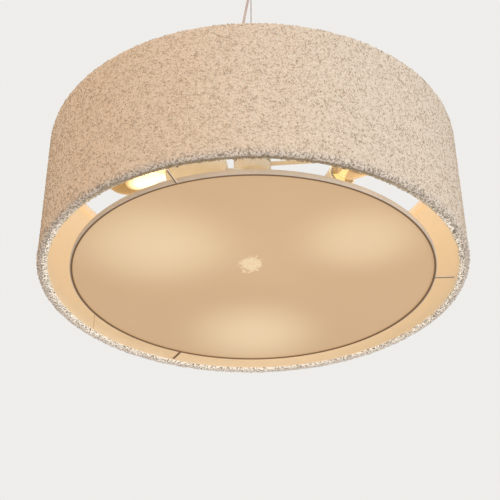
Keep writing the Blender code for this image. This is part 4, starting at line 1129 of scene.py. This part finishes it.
HOLDERS = [holder_frame(degrees) for degrees in HOLDER_ANGLES]
for number, matrix in enumerate(HOLDERS, 1):
    corner, end = (on_axis(matrix, reach) for reach in ARM_REACH)
    azimuth = math.degrees(math.atan2(corner[1], corner[0]))
    stations = [polar(ARM_CIRCLE, azimuth, level(height)) for height in ARM_LEVELS] + [corner, end]
    made_piece(f"bent_arm_{number}", [tube(rounded_route(stations, ARM_BENDS, 14), ARM_RADIUS, 28)],
               "lamp", CREAM_PAINT, "cream_paint", f"arm_{number}")
    turned(f"turned_sleeve_{number}", sleeve_outline(), 72, 0.0003, "lamp", LIT_CREAM, "cream_paint",
           f"holder_sleeve_{number}", place=matrix)
    turned(f"brass_insert_{number}", INSERT_OUTLINE, 64, 0.0001, "lamp", LIT_BRASS, "brass",
           f"holder_insert_{number}", place=matrix)

# %% [markdown]
# A clear bulb glows through its glass. The filaments carry the light, the glass lets it through without a
# shadow, and a soft point light in each bulb lights the lining.

# %% Bulb finishes
HALO_CENTRE = 0.099
HALO_SHIFT = np.array([0.0, -0.005, -0.020])
HALO_STRETCH = (1 / 0.023, 1 / 0.0115, 1 / 0.0098)
HALO_GLOWS = (6.0, 0.5, 0.5)
GLASS_GLOW = 0.14
FILAMENT_GLOW = 2.8


def clear_glass():
    """Thin glass: see-through with a gloss at its rim, and a halo where it lies near a filament."""
    material, shader, place = nodes_of("clear_bulb_glass", (0.50, 0.40, 0.28), 0.05)
    through = node_of(place, "BsdfTransparent", {"Color": (0.78, 0.70, 0.50)})
    facing = node_of(place, "LayerWeight", {"Blend": 0.30}).outputs["Facing"]
    total = None
    for matrix, glow in zip(HOLDERS, HALO_GLOWS):
        away = distance_to(place, on_axis(matrix, HALO_CENTRE) + HALO_SHIFT, HALO_STRETCH)
        halo = range_of(away, 0.85, 1.35, glow, GLASS_GLOW / 3)
        total = halo if total is None else joined("ADD", total, halo)
    fill(shader, {"Roughness": cloud_of(place, 80.0, 0.03, 0.09), "Emission Strength": total,
                        "Emission Color": (1.0, 0.72, 0.42)})
    blend = node_of(place, "MixShader", {0: range_of(facing, 0.0, 1.0, 0.16, 0.80),
                                        1: through.outputs[0], 2: shader.outputs[0]})
    fill(material.node_tree.nodes["Material Output"], {"Surface": blend.outputs[0]})
    return material


def glowing(name, colour, strength):
    """A surface that shines by itself, a little unevenly."""
    material, shader, place = nodes_of(name, colour, 0.6)
    rise = cloud_of(place, 300.0, 0.85 * strength, 1.15 * strength)
    fill(shader, {"Emission Color": colour, "Emission Strength": rise})
    return material


GLASS = clear_glass()
FILAMENT = glowing("glowing_filament", (1.0, 0.84, 0.60), FILAMENT_GLOW)
print("finishes so far:", len(bpy.data.materials))

# %% [markdown]
# A bulb is turned work too: a glass skin with an inside, a cap with a rounded thread, and a glass stalk that
# carries four filaments. All of it rides on the bulb's own body, so the bulb can be taken out.

# %% Bulbs
BULB_RADIUS = 0.030
BULB_CENTRE = 0.1276
BULB_GLASS_START = 0.068
BULB_CAP_EDGE = 0.0836
BULB_SHOULDER = BULB_CAP_EDGE + 0.0044
BULB_NECK = 0.0125
BULB_WALL = 0.0008
THREAD_DEPTH = 0.00045
THREAD_PITCH = 0.0025
CAP_TIP = [(0, 0.0545), (0.0035, 0.0545), (0.0048, 0.0555), (0.0090, 0.0585), (0.0120, 0.0612)]
CAP_INSIDE = [(0.0130, 0.0815), (0.0130, BULB_CAP_EDGE), (0.0124, BULB_CAP_EDGE), (0.0115, 0.0800),
              (0.0115, 0.0625), (0.0080, 0.0600), (0, 0.0600)]
STALK_OUTLINE = [(0, 0.069), (0.0108, 0.069), (0.0108, 0.0705), (0.0055, 0.078), (0.0030, 0.085),
                 (0.0030, 0.097), (0.0010, 0.098), (0.0010, 0.1265), (0, 0.1265)]
# Way from the axis and height of each corner of a filament
FILAMENT_CORNERS = ((0.0015, 0.095), (0.0052, 0.097), (0.0105, 0.125), (0.0004, 0.1255))
FILAMENT_BENDS = (0.0012, 0.0012)
FILAMENT_RADIUS = 0.0009
FILAMENT_TURNS = (45, 135, 225, 315)


def bulb_outline(globe, neck, steps=40):
    """Neck, a straight shoulder touching the globe, then the globe to its pole."""
    rise = BULB_CENTRE - BULB_SHOULDER
    touch = math.atan2(neck, rise) + math.acos(globe / math.hypot(neck, rise))
    turn = np.linspace(touch - np.pi / 2, np.pi / 2, steps)
    round_part = np.stack([globe * np.cos(turn), BULB_CENTRE + globe * np.sin(turn)], -1)
    round_part[-1, 0] = 0
    return np.vstack([[neck - 0.0005, BULB_GLASS_START], [neck - 0.0005, BULB_CAP_EDGE],
                      [neck, BULB_SHOULDER], round_part])


def threaded_cap():
    """The bulb's cap: a coarse rounded thread of seven turns on a thin shell, and the contact at its tip."""
    heights = np.linspace(0.0625, 0.0800, 57)
    wave = THREAD_DEPTH * np.sin((heights - heights[0]) / THREAD_PITCH * 2 * np.pi)
    return CAP_TIP + np.stack([0.01255 + wave, heights], -1).tolist() + CAP_INSIDE


def unshadowed(piece):
    """Light from inside the bulb passes this piece."""
    piece.visible_shadow = False
    piece.visible_diffuse = False


shell = np.vstack([bulb_outline(BULB_RADIUS, BULB_NECK)[::-1],
                   bulb_outline(BULB_RADIUS - BULB_WALL, BULB_NECK - BULB_WALL)])
for number, matrix in enumerate(HOLDERS, 1):
    body = f"bulb_{number}"
    unshadowed(turned(f"clear_glass_{number}", shell, 96, 0.00005, body, GLASS, "clear_glass",
                      f"bulb_glass_{number}", place=matrix))
    turned(f"threaded_cap_{number}", threaded_cap(), 72, 0.0001, body, ZINC, "steel", f"bulb_cap_{number}",
           place=matrix)
    threads = []
    for turn in FILAMENT_TURNS:
        corners = [polar(reach, turn, height) for reach, height in FILAMENT_CORNERS]
        threads.append(tube(placed(rounded_route(corners, FILAMENT_BENDS), matrix), FILAMENT_RADIUS, 10))
    unshadowed(made_piece(f"stalk_and_filaments_{number}", [lathe(STALK_OUTLINE, 32, 0.0003, matrix)] + threads,
                          body, FILAMENT, "filament", f"bulb_filament_{number}"))

# %% [markdown]
# The ceiling fitting is above the photograph's edge. It is plain turned work: a cup with two side screws, a
# ball seat, and a gripper barrel with a knurled release. The spring in the barrel is squashed by the release.

# %% Ceiling fitting
CUP_RADIUS = 0.055
CUP_WALL = 0.0012
CUP_FLOOR = -0.030
CUP_TOP = -0.0005
GLAND_TOP = CUP_FLOOR - GAP
BALL_CENTRE = -0.023
BALL_RADIUS = 0.006
BALL_TOP = math.degrees(math.acos(0.0009 / BALL_RADIUS))
BALL_FOOT = math.degrees(math.acos(0.0025 / BALL_RADIUS))
SOCKET_RADIUS = 0.0063
SEAT_BORE = 0.0042
SEAT_RADIUS = 0.0082
SEAT_LOW = CUP_FLOOR + 0.0015
BARREL_OUTLINE = [(0.0025, -0.0345), (0.0045, -0.0345), (0.0045, -0.0375), (0.0042, -0.0380), (0.0045, -0.0385),
                  (0.0045, -0.056), (0.0034, -0.056), (0.0034, -0.043), (0.0009, -0.043)]
PLUNGER_OUTLINE = stepped(0.0009, 0.0031, 0.0044, -0.050, -0.0588, -0.060)
KNURL_LOW, KNURL_TOP = -0.0599, -0.0589
KNURL_RADIUS = 0.0045
SPRING_TOP = -0.0436
SPRING_FOOT = -0.0494
SPRING_RADIUS = 0.0022
SPRING_WIRE = 0.0003
SPRING_TURNS = 4


def knurled(low, high, radius, count=36, depth=0.00018, lines=24):
    """Two families of shallow grooves crossing on a barrel: r = R - d (max of two slanted waves)."""
    heights = np.linspace(low, high, lines)[:, None]
    angle = full_turn(count * 4)[None]
    slant = (heights - low) / radius
    waves = np.maximum(np.cos(count * (angle + slant)), np.cos(count * (angle - slant)))
    r = radius - depth * (0.5 + 0.5 * waves)
    r[0] = r[-1] = radius - depth
    return about_axis(r, angle, heights)


turned("turned_canopy", dish(SEAT_BORE, CUP_RADIUS, CUP_FLOOR, CUP_TOP, CUP_WALL), 144, 0.003, "canopy",
       CREAM_PAINT, "cream_paint", "canopy_cup")
gland = stepped(FLEX_BORE, COLLAR_RADIUS, NECK_RADIUS, GLAND_TOP - 0.0014, GLAND_TOP, GLAND_TOP + 0.0052)
turned("flex_gland", gland, 40, 0.0003, "canopy", NYLON, "nylon", "canopy_gland",
       place=moved_across(FLEX_CUP_OFFSET))
socket_foot = -math.degrees(math.acos(SEAT_BORE / SOCKET_RADIUS))
socket = arc_of(SOCKET_RADIUS, BALL_CENTRE, socket_foot, -10, 14)
seat = [(SEAT_BORE, SEAT_LOW), *socket, (SEAT_RADIUS, socket[-1][1]), (SEAT_RADIUS, SEAT_LOW)]
turned("turned_seat", seat, 64, 0.0003, "canopy", NYLON, "nylon", "ball_seat")
cap_inside = arc_of(SOCKET_RADIUS, BALL_CENTRE, 12, 72, 14)
cap_outside = arc_of(SOCKET_RADIUS + 0.0008, BALL_CENTRE, 72, 12, 14)
turned("ball_cap", cap_inside + cap_outside, 64, 0.0001, "swivel", NYLON, "nylon", "swivel_cap")
barrel = arc_of(BALL_RADIUS, BALL_CENTRE, BALL_TOP, -BALL_FOOT, 30) + BARREL_OUTLINE
turned("gripper_barrel", barrel, 64, 0.0003, "lamp", BRASS, "brass", "gripper_body")
turns = np.linspace(0, 360 * SPRING_TURNS, SPRING_TURNS * 24 + 1)
coil = tube(polar(SPRING_RADIUS, turns, np.linspace(SPRING_TOP, SPRING_FOOT, len(turns))), SPRING_WIRE, 8)
coil_spring = made_piece("coil_spring", [coil], "lamp", BRIGHT_STEEL, "steel", "gripper_spring")
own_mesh(coil_spring)
grip = knurled(KNURL_LOW, KNURL_TOP, KNURL_RADIUS)
grip = np.concatenate([grip, grip[::-1] * (0.9, 0.9, 1.0)])
plunger = lathe(PLUNGER_OUTLINE, 64, 0.0002)
made_piece("gripper_release", [plunger, (grip, True, True)], "plunger", BRASS, "brass", "gripper_plunger")

# %% [markdown]
# The nuts, screws and small fittings keep their modelled shape and only take a finish.

# %% Finishes for the pieces that stay
KEPT = {
    ZINC: ("ceiling_bracket", "canopy_screw_1", "canopy_screw_2", "hub_nut", "arm_nut_1", "arm_nut_2",
           "arm_nut_3", "holder_nut_1", "holder_nut_2", "holder_nut_3"),
    CERAMIC: ("terminal_block", "hub_connector"),
    BRASS: ("cable_stop",),
    NYLON: ("cable_clip",),
}
for finish, names in KEPT.items():
    for name in names:
        mesh = bpy.data.objects[name].data
        mesh.materials.clear()
        mesh.materials.append(finish)
print(f"{sum(map(len, KEPT.values()))} pieces keep their modelled shape")

# %% [markdown]
# A pale floor far below and a pale sky hold the picture. The bulbs' points light the lining. A wide lamp
# below and to the right, a warm one to the left and one above light the wool as the room does.

# %% Floor, sky and lights
FLOOR_LEVEL = -1.9
FLOOR_REACH = 14.0
FLOOR_COLOUR = (0.86, 0.85, 0.83)
SKY_LIGHT = (0.42, 0.41, 0.40)
BULB_POWER = 0.062
BULB_SOFTNESS = 0.02
BULB_LIGHT = (1.0, 0.80, 0.56)
AIM_LEVEL = 0.08
# Place, size, power and colour
ROOM_LIGHTS = (
    ((1.6, -1.5, -0.9), 1.6, 23.5, (1.0, 0.96, 0.92)),
    ((-1.7, -1.2, -0.2), 1.6, 15.0, (1.0, 0.53, 0.15)),
    ((0.0, -0.4, 1.5), 2.2, 13.8, (1.0, 0.96, 0.93)),
)


def pale_floor():
    """Matt floor whose paleness moves by one percent."""
    material, shader, place = nodes_of("pale_floor", FLOOR_COLOUR, 0.9)
    stops = [(CLOUD_LOW, [c - 0.01 for c in FLOOR_COLOUR]), (CLOUD_HIGH, [c + 0.01 for c in FLOOR_COLOUR])]
    fill(shader, {"Base Color": ramp_of(noise_of(place, 1.5), stops)})
    return material


def light_of(name, kind, place, power, colour):
    data = bpy.data.lights.new(name, kind)
    data.energy = power
    data.color = colour
    light = in_scene(name, data)
    light.location = place
    return light


floor_mesh = bpy.data.meshes.new("studio_floor")
corners = [(FLOOR_REACH * x, FLOOR_REACH * y, FLOOR_LEVEL) for x, y in ((-1, -1), (1, -1), (1, 1), (-1, 1))]
floor_mesh.from_pydata(corners, [], [(0, 1, 2, 3)])
floor_mesh.materials.append(pale_floor())
studio_floor = in_scene("studio_floor", floor_mesh)

for number, (place, size, power, colour) in enumerate(ROOM_LIGHTS, 1):
    soft_light = light_of(f"soft_light_{number}", "AREA", place, power, colour)
    soft_light.data.size = size
    aim = Vector((0, 0, level(AIM_LEVEL))) - Vector(place)
    soft_light.rotation_euler = aim.to_track_quat("-Z", "Y").to_euler()
for number, matrix in enumerate(HOLDERS, 1):
    place = on_axis(matrix, BULB_CENTRE)
    bulb_light = light_of(f"bulb_light_{number}", "POINT", place, BULB_POWER, BULB_LIGHT)
    bulb_light.data.shadow_soft_size = BULB_SOFTNESS

world = bpy.context.scene.world or bpy.data.worlds.new("pale_room")
bpy.context.scene.world = world
world.use_nodes = True
sky = world.node_tree
background = sky.nodes["Background"]
fill(background, {"Color": SKY_LIGHT, "Strength": 1.0})
seen = node_of(sky, "Background", {"Color": FLOOR_COLOUR})
to_camera = node_of(sky, "LightPath", {}).outputs["Is Camera Ray"]
blend = node_of(sky, "MixShader", {0: to_camera, 1: background.outputs[0], 2: seen.outputs[0]})
fill(sky.nodes["World Output"], {"Surface": blend.outputs[0]})
print(f"{len(ROOM_LIGHTS)} room lights and {len(HOLDERS)} bulb lights")
